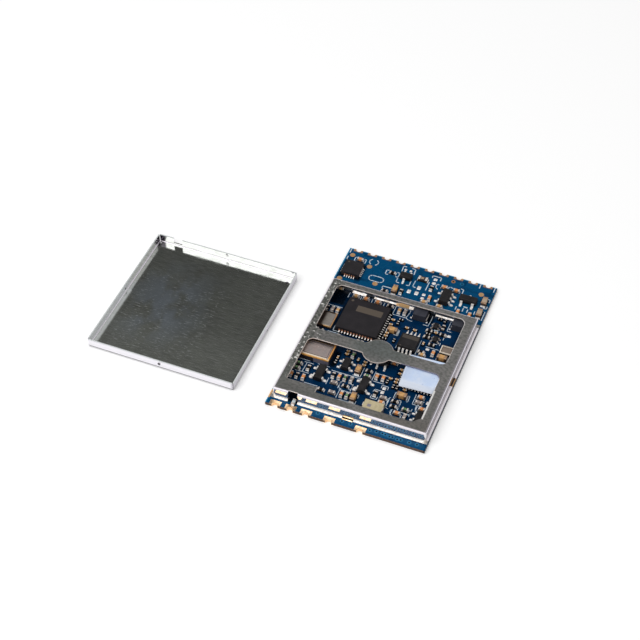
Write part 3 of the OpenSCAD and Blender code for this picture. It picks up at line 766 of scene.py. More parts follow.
@dataclass(frozen=True)
class TinSheet(Finish):
    """Pressed tin-plated steel sheet, satin on the flat and drawn bright on walls and bends.

    Rolling leaves fine lines along X, the plating is blotched and greener where it was handled, dust and
    pale specks lie on it, its sheared and bent edges are worn pale and matt, and its foot is in shadow.
    Listed stretches of wall and bend are painted darker as painted shade, with painted highlight lines on a
    bend and an edge, and its pip dimples are painted dark as painted shade.
    """

    flat: str = "#DEDAD8"
    cloudy: str = "#C9C6C3"
    cloud_size: float = 2.6
    flat_rough: float = 0.3
    tints: tuple[TintedArea, ...] = ()
    lined: str = "#D0CDCB"
    line_gap: float = 0.16
    line_depth: float = 0.004
    wall: str = "#E6E4E6"
    wall_rough: float = 0.08
    wall_matt: float = 0.0
    # painted shade: darker colour on listed stretches of wall
    wall_shades: tuple[TintedArea, ...] = ()
    edge: str = "#E6DAD2"
    edge_matt: float = 0.6
    edge_rough: float = 0.42
    sheared: Area = ((0.085, -3.84), (24.0, 24.6))
    bend: str = "#EEE8F0"
    # painted shade and painted highlight lines on listed stretches of bend
    bend_shade_and_highlight: tuple[TintedArea, ...] = ()
    blotch: str = "#8B9088"
    blotch_size: float = 0.36
    blotch_share: Point = (0.55, 0.9)
    fleck: str = "#FAF8F4"
    speck_size: float = 0.34
    speck_from: float = 0.57
    speck_long: float = 1.0
    speck_matt: float = 0.6
    speck_rough: float = 0.3
    speck_area: Area = ((-12.4, -1.0), (5.0, 24.0))
    haze: str = "#B9CAD8"
    haze_size: float = 3.5
    haze_area: Area = ((0.0, 0.0), (0.0, 0.0))
    haze_matt: float = 0.0
    dust: tuple[Share, ...] = ()
    # pale matt lines: scuff marks, and painted highlights along lit edges
    scuffs_and_highlights: tuple[Share, ...] = ()
    # colour of painted shade on the foot and in the pip dimples
    shadow: str = "#4A464C"
    pips: tuple[Rectangle, ...] = ()
    foot: tuple[Area, ...] = ()
    foot_height: float = 0.2
    sheared_above: float = 99.0
    rim_matt: float = 0.5
    rim_rough: float = 0.6

    def surface(self, on: Canvas) -> dict[str, Any]:
        """Mottles the flat sheet, keeps its walls bright, wears its edges and paints shade and highlights
        where listed.

        Args:
            on: the material's nodes.

        Returns:
            The shader's inputs.
        """
        off_flat, off_wall = (on.add("MapRange", (on.level, *ends)) for ends in ((0.985, 0.94), (0.1, 0.3)))
        bent = on.add("Math", (off_flat, off_wall), operation="MULTIPLY")
        height = on.add("SeparateXYZ", (on.point,), out=2)
        patch = on.cloud(self.cloud_size, PATCHY)
        lines = on.cloud(self.line_gap, STREAKY, (10, 1, 1))
        near = on.rectangle(*self.speck_area, soft=4.0)
        tone = on.layered(self.flat, (patch, self.cloudy), (lines, self.lined))
        for *area, tint in self.tints:
            spread = on.rectangle(*area, soft=3.0)
            tone = on.add("Mix", (spread, tone, linear(tint)), blend_type="MULTIPLY", **RGBA)
        levels = (self.speck_from, self.speck_from + 0.08)
        marks = (
            (on.cloud(self.blotch_size, (0.4, 0.64), (1.4, 1, 1)),
             on.add("MapRange", (near, 0.0, 1.0, *self.blotch_share))),
            (on.cloud(self.speck_size, levels, (self.speck_long, 1, 1)), near),
            (on.cloud(self.haze_size, (0.35, 0.6), (1, 1.6, 1)), on.rectangle(*self.haze_area, soft=9.0)),
        )
        blotch, specks, smear = (on.add("Math", pair, operation="MULTIPLY") for pair in marks)
        tone = on.layered(tone, (blotch, self.blotch), (specks, self.fleck), (smear, self.haze))
        wall_layers = [(on.rectangle(*area, soft=0.4), tint) for *area, tint in self.wall_shades]
        wall = on.layered(self.wall, *wall_layers)
        # bends and edges worn pale, with painted shade and highlight lines on listed bends
        bend_layers = [(on.rectangle(*area, soft=0.1), tint) for *area, tint in self.bend_shade_and_highlight]
        worn = on.layered(self.bend, (on.rectangle(*self.sheared), self.edge), *bend_layers)
        scuffed_and_lit: Any = 0.0
        for middle, size, share in self.scuffs_and_highlights:
            line = on.rectangle(middle, size, min(size) / 2)
            scuffed_and_lit = on.add("Math", (line, share, scuffed_and_lit), operation="MULTIPLY_ADD")
        # painted shade on the foot and in the pip dimples
        low = on.add("MapRange", (height, (self.foot_height + 0.06) * MM, self.foot_height * MM))
        dark = [on.add("Math", (low, on.rectangle(*area)), operation="MULTIPLY") for area in self.foot]
        dark += [on.disc(place, wide, 0.2) for *place, wide in self.pips]
        rim = on.add("MapRange", (height, self.sheared_above * MM, (self.sheared_above + 0.02) * MM))
        tone = on.layered(wall, (on.up, tone), (bent, worn), (scuffed_and_lit, self.fleck))
        tone = on.layered(tone, *((mask, self.shadow) for mask in dark), (rim, self.fleck))
        satin = on.add("MapRange", (patch, 0.0, 1.0, self.flat_rough, self.flat_rough + 0.06))
        satin = on.add("Math", (specks, self.speck_rough, satin), operation="MULTIPLY_ADD")
        satin = on.add("Mix", (on.up, self.wall_rough, satin))
        satin = on.add("Mix", (bent, satin, self.edge_rough))
        matt = on.add("Math", (specks, self.speck_matt), operation="MULTIPLY")
        matt = on.add("Math", (smear, self.haze_matt, matt), operation="MULTIPLY_ADD")
        for *area, share in self.dust:
            matt = on.add("Math", (on.rectangle(*area, soft=8.0), share, matt), operation="MULTIPLY_ADD")
        matt = on.add("Mix", (on.up, self.wall_matt, matt))
        matt = on.add("Mix", (bent, matt, self.edge_matt))
        matt = on.add("Math", (scuffed_and_lit, matt), operation="MAXIMUM")
        matt = on.add("Mix", (rim, matt, self.rim_matt))
        relief = on.add("Math", (lines, 0.4, specks), operation="MULTIPLY_ADD")
        relief = on.add("Math", (relief, on.up), operation="MULTIPLY")
        return {
            "Base Color": tone,
            "Roughness": on.add("Mix", (rim, satin, self.rim_rough)),
            "Normal": on.add("Bump", {"Height": relief, "Distance": self.line_depth * MM, "Strength": 1.0}),
            "Metallic": on.add("Math", (1.0, matt), operation="SUBTRACT"),
        }


@dataclass(frozen=True)
class MouldCompound(Finish):
    """Black epoxy moulding compound: a fine matt grain, slightly brown, with plain printed marks."""

    body: str = "#1C191D"
    worn: str = "#252125"
    mark: str = "#5C5248"
    rough: float = 0.5
    grain: float = 0.16
    wear_size: float = 1.6
    blocks: tuple[Area, ...] = ()
    dots: tuple[tuple[Point, float], ...] = ()

    def surface(self, on: Canvas) -> dict[str, Any]:
        """Grains the mould and prints its plain blocks and dots.

        Args:
            on: the material's nodes.

        Returns:
            The shader's inputs.
        """
        grain = on.cloud(self.grain, STREAKY)
        marks = [on.rectangle(*block, soft=0.08) for block in self.blocks]
        marks += [on.disc(*dot) for dot in self.dots]
        prints = [(on.add("Math", (mark, on.up), operation="MULTIPLY"), self.mark) for mark in marks]
        return {
            "Base Color": on.layered(self.body, (on.cloud(self.wear_size, PATCHY), self.worn), *prints),
            "Roughness": on.add("MapRange", (grain, 0.0, 1.0, self.rough, self.rough + ROUGHER)),
            "Normal": on.add("Bump", {"Height": grain, "Distance": 0.01 * MM, "Strength": 0.5}),
            "IOR": 1.55,
            "Specular IOR Level": 0.3,
        }


@dataclass(frozen=True)
class Ceramic(Finish):
    """Fired ceramic, ferrite or glaze of chip parts: dense, half matt, with a faint mottle."""

    body: str = "#C8965A"
    mottle: str = "#B07F48"
    patch_size: float = 0.45
    grit: float = 0.12
    rough: float = 0.5
    gloss: float = 0.25
    spot: str = "#8C8692"
    spots: tuple[Area, ...] = ()

    def surface(self, on: Canvas) -> dict[str, Any]:
        """Mottles the ceramic and prints its spots.

        Args:
            on: the material's nodes.

        Returns:
            The shader's inputs.
        """
        patch = on.cloud(self.patch_size, PATCHY)
        prints = [(on.rectangle(*area, soft=min(area[1]) * 0.3), self.spot) for area in self.spots]
        relief = {"Height": on.cloud(self.grit, GRAINY), "Distance": 0.006 * MM, "Strength": 0.5}
        return {
            "Base Color": on.layered(self.body, (patch, self.mottle), *prints),
            "Roughness": on.add("MapRange", (patch, 0.0, 1.0, self.rough, self.rough + ROUGHER)),
            "Normal": on.add("Bump", relief),
            "IOR": 1.6,
            "Specular IOR Level": self.gloss,
        }


@dataclass(frozen=True)
class GelPad(Finish):
    """Soft silicone heat pad: pale lavender and waxy, with faint pits; its front band and sides are paler
    as painted light.
    """

    body: str = "#D2E3FF"
    pale: str = "#E6EFFF"
    pit: str = "#A3B2DC"
    # colour of upright faces: paler, as painted light
    side: str = "#EEF4FF"
    patch_size: float = 1.8
    pit_size: float = 0.3
    grain: float = 0.5
    # band near the front edge made paler as painted light
    lit_band: Area = ((8.3, -7.9), (6.4, 0.9))

    def surface(self, on: Canvas) -> dict[str, Any]:
        """Clouds the pad, pits it lightly and paints light near its front edge and on its sides.

        Args:
            on: the material's nodes.

        Returns:
            The shader's inputs.
        """
        band = on.rectangle(*self.lit_band, soft=0.6)
        patch = on.cloud(self.patch_size, (0.4, 0.75))
        colour = on.layered(self.body, (patch, self.pale), (band, self.pale))
        pits = on.add("Math", (on.cloud(self.pit_size, (0.66, 0.72)), 0.7), operation="MULTIPLY")
        relief = {"Height": on.cloud(self.grain, GRAINY), "Distance": 0.02 * MM, "Strength": 0.4}
        return {
            "Base Color": on.layered(self.side, (on.up, colour), (pits, self.pit)),
            "Normal": on.add("Bump", relief),
            "Roughness": 0.6,
            "Specular IOR Level": 0.3,
        }


class Coat(Enum):
    """Every finish of the module."""

    MASK = SolderMask("blue_solder_mask")
    SILK = SilkInk("silk_ink")
    GOLD = PlatedMetal("gold_flash", bright="#F6CFA0", dull="#DCA974", rough=0.45, grain=0.6)
    REAR_GOLD = PlatedMetal(
        "masked_gold_flash", bright="#CFA074", dull="#B2835A", rough=0.45, grain=0.6, metal=0.35,
        stains_and_painted_light=(((0.0, 17.3), (30.0, 0.9), "#004A78"),),
    )
    BRIGHT_GOLD = PlatedMetal("bright_gold_flash", bright="#FDE0B8", dull="#EFC594", rough=0.26, grain=0.6)
    STRIP = GroundStrip("soldered_ground_strip")
    SEAM = PlatedMetal(
        "seam_solder", bright="#FBF7F0", dull="#E6DDD4", rough=0.4, grain=0.5, depth=0.02, metal=0.6,
        stains_and_painted_light=(((12.8, -3.84), (0.7, 26.0), "#FBF5FB"),),
    )
    SOLDER = PlatedMetal(
        "bright_solder", bright="#FFFDFB", dull="#EFE7E1", rough=0.3, grain=0.35, depth=0.012, metal=0.3,
        # darker solder in one rectangle round (6.8, 4.8)
        stains_and_painted_light=(((6.83, 4.77), (2.8, 4.2), "#A49B95"),),
    )
    # near-black plates of the mask opening round each part: painted contact shade
    OPENING = Ceramic("shaded_mask_opening", body="#000203", mottle="#02060A", gloss=0.03)
    FRAME = TinSheet(
        "satin_tin_sheet", wall_matt=0.13,
        tints=(
            ((0.3, -1.6), (9.0, 7.0), "#DCE6E6"), ((-12.0, -3.0), (3.0, 24.0), "#EEF0EC"),
            ((8.5, -15.6), (10.0, 3.6), "#E6E2DE"), ((-6.5, -15.8), (12.0, 1.4), "#D6D8D6"),
            ((11.7, -10.5), (1.4, 6.0), "#E2E1E2"), ((-11.8, -12.0), (1.4, 5.0), "#DCE0E2"),
            ((-11.8, 3.2), (1.4, 2.4), "#BCC2BE"),
        ),
        dust=(((11.5, 1.0), (9.0, 16.0), 0.012), ((0.0, 8.5), (24.0, 3.0), 0.012)),
        # painted highlight along the front window's right edge; painted shade on the right wall, its bend
        # and its lower part, with a painted highlight line on the bend
        scuffs_and_highlights=(((11.04, -11.1), (0.22, 6.0), 0.9),), wall_shades=(((12.6, -3.84), (0.3, 25.0), "#BAB4BA"),),
        bend_shade_and_highlight=(((12.5, -3.84), (0.5, 25.0), "#8E8890"), ((12.52, -3.84), (0.1, 25.0), "#FAF6FF")),
        shadow="#746D6F", foot=(((12.55, -3.84), (0.3, 25.0)),), foot_height=1.8,
    )
    LID = TinSheet(
        "rolled_tin_sheet", flat="#CBCEC8", cloudy="#BFC3BB", lined="#A3A79F", wall="#EBE9EE",
        edge="#ECEAEE", fleck="#E4E8E8", blotch="#B8BCB2", blotch_share=(0.3, 0.75), haze="#C0CAD2",
        flat_rough=0.12, wall_rough=0.07, edge_matt=0.2, blotch_size=0.7, speck_from=0.6, speck_size=0.2,
        speck_long=5.0, speck_matt=0.012, speck_rough=0.03, speck_area=((-35.0, -7.0), (16.0, 18.0)),
        haze_area=((-36.5, -4.5), (11.0, 14.0)), haze_matt=0.02,
        dust=(((-31.0, -14.0), (26.0, 10.0), 0.057), ((-23.0, -4.0), (8.0, 22.0), 0.033)),
        # pip dimples painted dark as painted shade
        pips=(
            (-31.43, -17.62, 0.91, 0.5), (-31.35, 8.29, 1.42, 0.22), (-18.6, -4.36, 0.51, 0.4),
            (-43.9, -4.6, 0.75, 0.45), (-19.9, 7.0, 0.2, 0.5),
        ),
        scuffs_and_highlights=(((-43.45, -10.5), (0.9, 13.0), 0.4),),
        # painted shade on the right wall and in the rear-left corner
        wall_shades=(((-18.6, -4.56), (0.8, 27.0), "#C6C3CA"), ((-43.8, 8.1), (1.9, 1.9), "#57525C")),
        foot=(((-31.35, -17.61), (25.4, 0.5)), ((-18.6, -4.56), (0.5, 26.2))), foot_height=0.3,
        sheared_above=1.56,
    )
    CHIP = MouldCompound(
        "chip_mould_compound", blocks=(((-4.47, 4.77), (4.35, 1.3)),),
        dots=(((-7.9, 6.17), 0.45), ((-11.7, 14.3), 0.3)),
    )
    PACKAGE = MouldCompound(
        "package_mould_compound", body="#151315", worn="#262325", mark="#4B443E", rough=0.45,
        blocks=(((3.65, 1.78), (2.7, 0.75)),), dots=(((2.6, -0.3), 0.28),),
    )
    CHIP_LEADS = PlatedMetal(
        "copper_lead_ends", bright="#EFAE88", dull="#D2865F", rough=0.35, grain=0.3, metal=0.4,
        # painted shade: the lead ends of the video chip's right row are near black; one controller row is
        # paler
        stains_and_painted_light=(((-1.45, 3.3), (0.6, 6.6), "#060404"), ((-9.1, 13.3), (0.5, 2.6), "#EBD3CB")),
    )
    LEGS = PlatedMetal(
        "tinned_legs", bright="#FFFDFA", dull="#F0E8E0", rough=0.4, grain=0.3, metal=0.18,
        # darker legs in the same rectangle
        stains_and_painted_light=(((6.83, 4.77), (2.8, 4.2), "#9A918B"),),
    )
    GEL = GelPad("silicone_heat_pad")
    CAN_BASE = Ceramic(
        "dark_can_ceramic", body="#1E191E", mottle="#2A2429", rough=0.4, spot="#74707E",
        # painted light: the right part of the oscillator's front face is paler
        spots=(((-7.9, -7.9), (2.6, 0.5)),),
    )
    CAN_GOLD = PlatedMetal(
        "gold_can_rim", bright="#FFC878", dull="#F0A850", rough=0.45, grain=0.4, metal=0.45,
        spot_metal=0.2,
        # painted shade where the frame's land and the bar shade the rims, painted highlight lines on the
        # front rims and a pale painted highlight on the right crystal's rim; the right rims are tinted
        # darker orange
        stains_and_painted_light=(
            ((-11.0, -0.45), (1.2, 0.4), "#4E3420"), ((-9.95, -0.4), (1.3, 0.14), "#FFE9CC"),
            ((-9.15, -4.4), (5.2, 0.34), "#2E2116"), ((-9.15, -7.64), (5.2, 0.14), "#FFF1DC"),
            ((-6.7, -5.6), (0.5, 2.8), "#D89A58"), ((-11.58, 1.05), (0.34, 3.4), "#3A2C20"),
            ((-10.4, 2.58), (2.7, 0.3), "#3A2C20"), ((-9.2, 1.05), (0.6, 4.0), "#C69A6C"),
            ((9.75, 1.68), (5.0, 5.0), "#FFF4E2"), ((10.7, 1.75), (0.3, 1.7), "#D89C58"),
            ((9.75, 2.56), (2.4, 0.3), "#7C6A5A"),
        ),
    )
    OSC_LID = PlatedMetal(
        "shaded_and_lit_can_lid", bright="#DCCFCB", dull="#C6B6B2", rough=0.42, grain=0.9, spot_metal=0.25,
        # painted highlight on the lid's front edge, and painted shade lines along its edges, darkest at the
        # rear under the bar
        stains_and_painted_light=(
            ((-9.15, -7.52), (4.7, 0.2), "#FFEFD6"), ((-9.15, -7.32), (4.1, 0.12), "#6E6264"),
            ((-7.14, -6.1), (0.12, 2.7), "#6E6264"), ((-9.15, -4.8), (4.1, 0.2), "#5A4E50"),
        ),
    )
    XTAL_LID = PlatedMetal(
        "nickel_can_lid", bright="#D2CAC2", dull="#B8B0A8", rough=0.36, grain=0.8, metal=0.92,
        # painted shadow on the left lid under the frame's left land; the right lid is given a darker tone
        stains_and_painted_light=(((-11.3, 1.0), (1.0, 3.4), "#584A42"), ((9.75, 1.68), (2.6, 2.4), "#B8A698")),
    )
    CORE = Ceramic("coil_ferrite", body="#33343D", mottle="#3B3C46", rough=0.55)
    CAPS = PlatedMetal(
        "tinned_end_caps", bright="#F6EEE7", dull="#D2C4BA", rough=0.4, grain=0.3, metal=0.4,
        # darker upright faces: painted shade
        side="#A89C94",
    )
    SMALL_CAPS = PlatedMetal(
        "small_tinned_end_caps", bright="#FFFAF4", dull="#E6DAD0", rough=0.3, grain=0.25, metal=0.3,
        # dark upright faces: painted shade
        side="#4A4040",
    )
    ROLLED = PlatedMetal(
        "rolled_sheet_edge", bright="#FAF0EA", dull="#DCCDC4", rough=0.35, grain=0.7, metal=0.35,
        # painted highlight along the right window edges, and painted shade where the bar shades the lip
        # over the pad
        stains_and_painted_light=(((11.3, -3.8), (2.4, 30.0), "#FFFBFA"), ((7.8, -4.8), (7.0, 1.2), "#8A88A6")),
    )
    FILTER = Ceramic(
        "fired_filter_ceramic", body="#CDBF9B", mottle="#BFB28D", spots=(((2.4, -13.75), (0.6, 0.55)),),
    )
    LARGE_CAPS = PlatedMetal(
        # dark upright faces: painted shade; paler caps in one rectangle
        "dull_end_caps", bright="#D2B092", dull="#A88468", rough=0.4, grain=0.3, metal=0.6, side="#6A5140",
        stains_and_painted_light=(((0.85, 15.5), (3.6, 3.0), "#F6EEE8"),),
    )
    TAN = Ceramic(
        "tan_capacitor_ceramic", body="#DCAC70", mottle="#C2925C", spot="#BBA58E",
        spots=(((12.2, 12.6), (1.9, 4.6)),),
    )
    ORANGE = Ceramic("orange_capacitor_ceramic", body="#F0A468", mottle="#DA8A50")
    GREY = Ceramic("grey_capacitor_ceramic", body="#A89C98", mottle="#8E827E")
    COIL = Ceramic("coil_body_ceramic", body="#3A463C", mottle="#2C352F")
    COIL_MARK = Ceramic("green_coil_mark", body="#86AC78", mottle="#4F7A48", rough=0.5)
    FILM = Ceramic("resistor_glaze", body="#0E0C0E", mottle="#1E1A1C", rough=0.35, gloss=0.15)
    FERRITE = Ceramic(
        "bead_ferrite", body="#2E2A30", mottle="#433A38", spot="#B49A80",
        spots=(((0.85, 15.5), (0.5, 0.4)),),
    )
    WHITE = Ceramic("white_capacitor_ceramic", body="#E6F0F2", mottle="#CFDBDE")


# Sub-assemblies


@dataclass
class Assembly:
    """Part of the module that is dressed and completed together."""

    nodes: dict[str, MeshObject]
    made: list[MeshObject] = field(default_factory=list)
    board_top: float = 0.6
    merge_within: float = 0.001
    flat_within: float = math.radians(0.5)

    def keep(self, piece: MeshObject, coat: Coat, slot: str | None, *stands_for: str) -> MeshObject:
        """Gives a new piece its finish and body.

        Args:
            piece: finished piece in metres.
            coat: its finish.
            slot: the record's material slot, if it has one; not used.
            stands_for: CAD nodes that the piece replaces.

        Returns:
            The same piece.
        """
        coat.value.put_on(piece)
        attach(piece, "root")
        if stands_for:
            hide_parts(*stands_for)
        self.made.append(piece)
        return piece

    def dress(self, coat: Coat, *names: str) -> None:
        """Puts a finish on CAD nodes that stay as they are."""
        for name in names:
            coat.value.put_on(self.nodes[name])

    def box(self, name: str) -> Box:
        """Measures a CAD node in millimetres."""
        return Box(*(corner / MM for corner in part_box(name)))

    def soften(
        self, name: str, edge: float, coat: Coat, slot: str, segments: int = 2, rolled: float = 0.0
    ) -> MeshObject:
        """Replaces a CAD node by a copy with rounded edges.

        Args:
            name: the node.
            edge: radius of its edges in millimetres.
            coat: finish of the copy.
            slot: the record's material slot.
            segments: steps of each rounded edge.
            rolled: radius of the top edges that look left or back, if it differs.

        Returns:
            The copy.
        """
        piece = self.copy_node(name, name + "_rounded")
        bevel = {"width": edge, "limit_method": "ANGLE", "angle_limit": SHARP}
        if rolled:
            self.weigh(piece, edge / rolled)
            bevel = {"width": rolled, "limit_method": "WEIGHT"}
        apply_modifier(piece, "BEVEL", segments=segments, **bevel)
        to_metres(piece)
        apply_modifier(piece, "WEIGHTED_NORMAL", weight=100, keep_sharp=True)
        return self.keep(piece, coat, slot, name)

    def copy_node(self, name: str, new_name: str) -> MeshObject:
        """Copies a CAD node's mesh in millimetres, merged and without its flat triangles.

        Args:
            name: the node.
            new_name: name of the copy.

        Returns:
            The copy, selected and in object mode.
        """
        piece = self.nodes[name].copy()
        piece.data = piece.data.copy()
        piece.name = new_name
        piece.parent = None
        for key in list(piece.keys()):
            del piece[key]
        bpy.context.scene.collection.objects.link(piece)
        piece.data.transform(Matrix.Scale(1 / MM, 4))
        only(piece)
        if piece.data.has_custom_normals:
            bpy.ops.mesh.customdata_custom_splitnormals_clear()
        bpy.ops.object.mode_set(mode="EDIT")
        bpy.ops.mesh.select_all(action="SELECT")
        bpy.ops.mesh.remove_doubles(threshold=self.merge_within)
        bpy.ops.mesh.dissolve_limited(angle_limit=self.flat_within)
        bpy.ops.object.mode_set(mode="OBJECT")
        return piece

    def sharp_edges(self, piece: MeshObject) -> Iterable[tuple[bpy.types.MeshEdge, Vector, Vector]]:
        """Finds the edges at which a piece turns sharply.

        Args:
            piece: object in object mode.

        Returns:
            Each edge with the normals of its lower and its upper face.
        """
        around: dict[tuple[int, int], list[Vector]] = {}
        for face in piece.data.polygons:
            for key in face.edge_keys:
                around.setdefault(key, []).append(face.normal)
        for edge in piece.data.edges:
            normals = sorted(around[edge.key], key=lambda n: n.z)
            if len(normals) == 2 and normals[0].angle(normals[1]) > SHARP:
                yield edge, *normals

    def weigh(self, piece: MeshObject, share: float) -> None:
        """Marks the sharp edges of a piece for its bevel.

        Args:
            piece: object in object mode.
            share: weight of an edge, but for top edges that look left or back, which get one.
        """
        weights = piece.data.attributes.new("bevel_weight_edge", "FLOAT", "EDGE")
        for edge, side, top in self.sharp_edges(piece):
            rolls = top.z > 0.9 and (side.x < -0.3 or side.y > 0.3)
            weights.data[edge.index].value = 1.0 if rolls else share


@dataclass
class CircuitBoard(Assembly):
    """Blue board with its plated pads, printed outlines and soldered ground strip."""

    ink_width: float = 0.15
    fine_ink_width: float = 0.1
    fine_ink_before: float = 9.0
    ink_height: float = 0.015
    ink_rounding: float = 0.04
    outlines: tuple[tuple[Point, ...], ...] = (
        # behind the frame
        ((-12.65, 17.2), (-12.65, 18.15)), ((10.2, 17.2), (10.2, 18.15)), ((12.65, 17.2), (12.65, 18.15)),
        ((-11.8, 15.5), (-12.6, 15.5), (-12.6, 16.2)),
        ((-11.05, 15.55), (-11.3, 15.55), (-11.3, 16.5), (-11.05, 16.5)),
        ((-9.65, 15.55), (-9.4, 15.55), (-9.4, 16.5), (-9.65, 16.5)),
        ((-8.5, 15.9), (-8.8, 16.2), (-8.8, 16.7), (-8.5, 17.0)),
        ((-7.6, 17.0), (-7.3, 16.7), (-7.3, 16.2), (-7.6, 15.9)),
        ((-5.0, 14.6), (-5.4, 14.6), (-5.4, 15.6), (-5.0, 15.6)),
        ((-3.5, 14.6), (-3.1, 14.6), (-3.1, 15.6), (-3.5, 15.6)),
        ((-6.5, 12.3), (-7.2, 12.3), (-7.6, 12.6), (-7.6, 13.2), (-7.2, 13.5), (-6.5, 13.5)),
        ((-6.3, 12.3), (-5.5, 12.3), (-5.1, 12.6), (-5.1, 13.2), (-5.5, 13.5), (-6.3, 13.5)),
        ((-3.1, 14.35), (-3.08, 13.5), (-2.6, 13.45)), ((-3.0, 16.2), (-3.1, 17.4), (-2.6, 17.45)),
        ((-1.2, 13.4), (-0.78, 13.4), (-0.8, 14.5)), ((-0.85, 16.2), (-0.95, 17.4), (-1.5, 17.4)),
        ((-0.14, 14.85), (-0.16, 13.5), (0.3, 13.42)), ((2.1, 13.5), (2.1, 15.4)),
        ((2.2, 16.7), (2.2, 17.1), (3.7, 17.1), (3.7, 16.4)),
        ((3.75, 15.5), (3.4, 15.42), (3.43, 14.72), (3.83, 14.43)),
        ((5.45, 15.24), (5.63, 15.68), (6.19, 15.54)), ((7.5, 15.9), (7.95, 15.9), (7.95, 14.2)),
        ((9.15, 12.15), (9.7, 12.15)), ((9.15, 12.27), (9.7, 12.27)), ((8.0, 11.2), (8.0, 11.8)),
        ((9.2, 11.2), (9.2, 11.8)), ((9.95, 11.2), (9.95, 11.8)), ((11.15, 11.2), (11.15, 11.8)),
        ((12.2, 15.25), (12.7, 15.25), (12.7, 14.6)), ((12.7, 13.6), (12.7, 13.05), (12.2, 13.05)),
        ((12.7, 12.3), (12.7, 10.4)), ((-4.75, 11.4), (-4.75, 11.8), (-3.3, 11.8)),
        # inside the rear window
        ((-11.6, 4.7), (-9.2, 4.7)), ((-9.2, 7.3), (-9.2, 8.4)), ((-7.1, 7.6), (-7.1, 8.3)),
        ((-5.2, 7.6), (-5.2, 8.3)), ((-3.1, 7.6), (-3.1, 8.3)),
        ((-1.1, 6.4), (1.2, 6.4), (1.45, 7.7), (1.4, 8.35), (-1.1, 8.35), (-1.1, 6.4)),
        ((1.2, 6.4), (1.8, 6.05), (2.35, 6.05)), ((4.3, 6.05), (5.1, 6.0), (5.2, 7.2), (5.15, 8.3)),
        ((9.0, 6.1), (8.3, 6.1), (8.3, 8.3)), ((0.6, 2.25), (1.25, 2.25), (1.25, 3.4), (0.8, 3.4)),
        ((1.85, -0.3), (1.85, 2.5)), ((5.2, -0.5), (5.2, 2.7)), ((6.35, 5.5), (6.95, 5.5)),
        ((6.35, 5.6), (6.95, 5.6)), ((7.15, 2.72), (7.75, 2.72)), ((8.35, 4.0), (8.35, 4.5)),
        ((8.2, 2.7), (8.2, 3.2)), ((6.3, 1.7), (8.4, 1.7)), ((-9.5, -0.85), (-7.8, -0.85)),
        ((-8.8, 0.6), (-8.8, -0.45), (-7.9, -0.45)),
        # inside the front window
        ((-11.5, -7.95), (-9.75, -7.95)), ((-8.3, -8.0), (-7.5, -8.0)), ((-6.9, -8.0), (-6.4, -8.0)),
        ((-10.43, -8.33), (-8.95, -8.33)), ((-10.0, -8.33), (-10.05, -10.4)),
        ((-11.2, -10.45), (-9.0, -10.4)), ((-8.9, -12.35), (-6.7, -12.35)), ((-5.8, -8.45), (-1.0, -8.45)),
        ((-5.65, -10.1), (-5.65, -11.4)), ((-3.65, -10.2), (-3.65, -11.5)), ((-1.6, -10.0), (-1.6, -11.4)),
        ((-3.3, -11.7), (0.0, -11.7)), ((-3.2, -11.7), (-3.2, -13.4)), ((-2.6, -13.6), (0.0, -13.6)),
        ((0.0, -11.7), (0.0, -12.3)), ((0.0, -13.0), (0.0, -13.6)),
        ((-1.2, -6.1), (-1.2, -8.15), (-2.4, -8.15)), ((0.75, -6.2), (0.75, -8.1)),
        ((0.75, -6.45), (2.9, -6.45)), ((1.0, -8.15), (2.75, -8.15)),
        ((2.65, -9.0), (2.65, -8.45), (3.7, -8.45), (3.7, -9.0)),
        ((1.75, -10.1), (1.85, -9.6), (2.75, -9.6)),
        ((1.75, -10.9), (1.75, -11.5), (2.75, -11.5), (2.75, -11.0)), ((4.6, -10.3), (4.6, -12.4)),
        ((6.5, -10.5), (6.5, -12.3)), ((5.3, -9.0), (5.1, -9.0), (5.1, -10.2), (5.3, -10.2)),
        ((7.2, -9.0), (7.4, -9.0), (7.4, -10.2), (7.2, -10.2)), ((8.2, -8.3), (8.2, -10.3), (9.8, -10.3)),
        ((8.2, -9.3), (9.8, -9.3)), ((9.1, -10.5), (9.1, -11.5)), ((8.55, -11.3), (8.55, -12.8)),
        ((7.0, -12.5), (8.5, -12.5)), ((5.7, -12.6), (5.7, -13.5)), ((7.4, -13.0), (7.4, -13.7)),
        ((-0.80, 3.30), (-0.83, 2.64), (-0.28, 2.22)),
        ((0.67, 3.48), (1.11, 3.47), (1.19, 2.48), (0.71, 2.40)),
        ((4.68, -10.37), (4.43, -10.62), (4.51, -11.55)), ((4.53, -11.92), (4.60, -12.43), (4.99, -12.57)),
        ((6.10, -10.35), (6.44, -10.36), (6.45, -10.90)), ((6.46, -11.24), (6.50, -11.87), (6.19, -11.94)),
        ((9.21, -10.15), (8.93, -10.31), (9.01, -11.26), (9.37, -11.46)),
        ((5.74, -12.46), (5.53, -12.70), (5.60, -13.30), (6.03, -13.57)),
        ((8.04, -11.69), (8.53, -11.70), (8.59, -12.60), (8.12, -12.64)),
        ((-3.49, -10.12), (-3.70, -10.35), (-3.52, -11.39), (-3.09, -11.52)),
        ((-2.42, -9.99), (-1.67, -10.05), (-1.52, -11.05), (-2.00, -11.09)),
    )

    def build(self) -> None:
        """Dresses the board and prints its outlines."""
        self.dress(Coat.MASK, "circuit_board")
        self.dress(Coat.GOLD, "test_pads")
        self.dress(Coat.REAR_GOLD, "rear_edge_pads")
        self.dress(Coat.BRIGHT_GOLD, "front_edge_pads")
        self.dress(Coat.STRIP, "ground_strip")
        self.keep(self.print_outlines(), Coat.SILK, None)

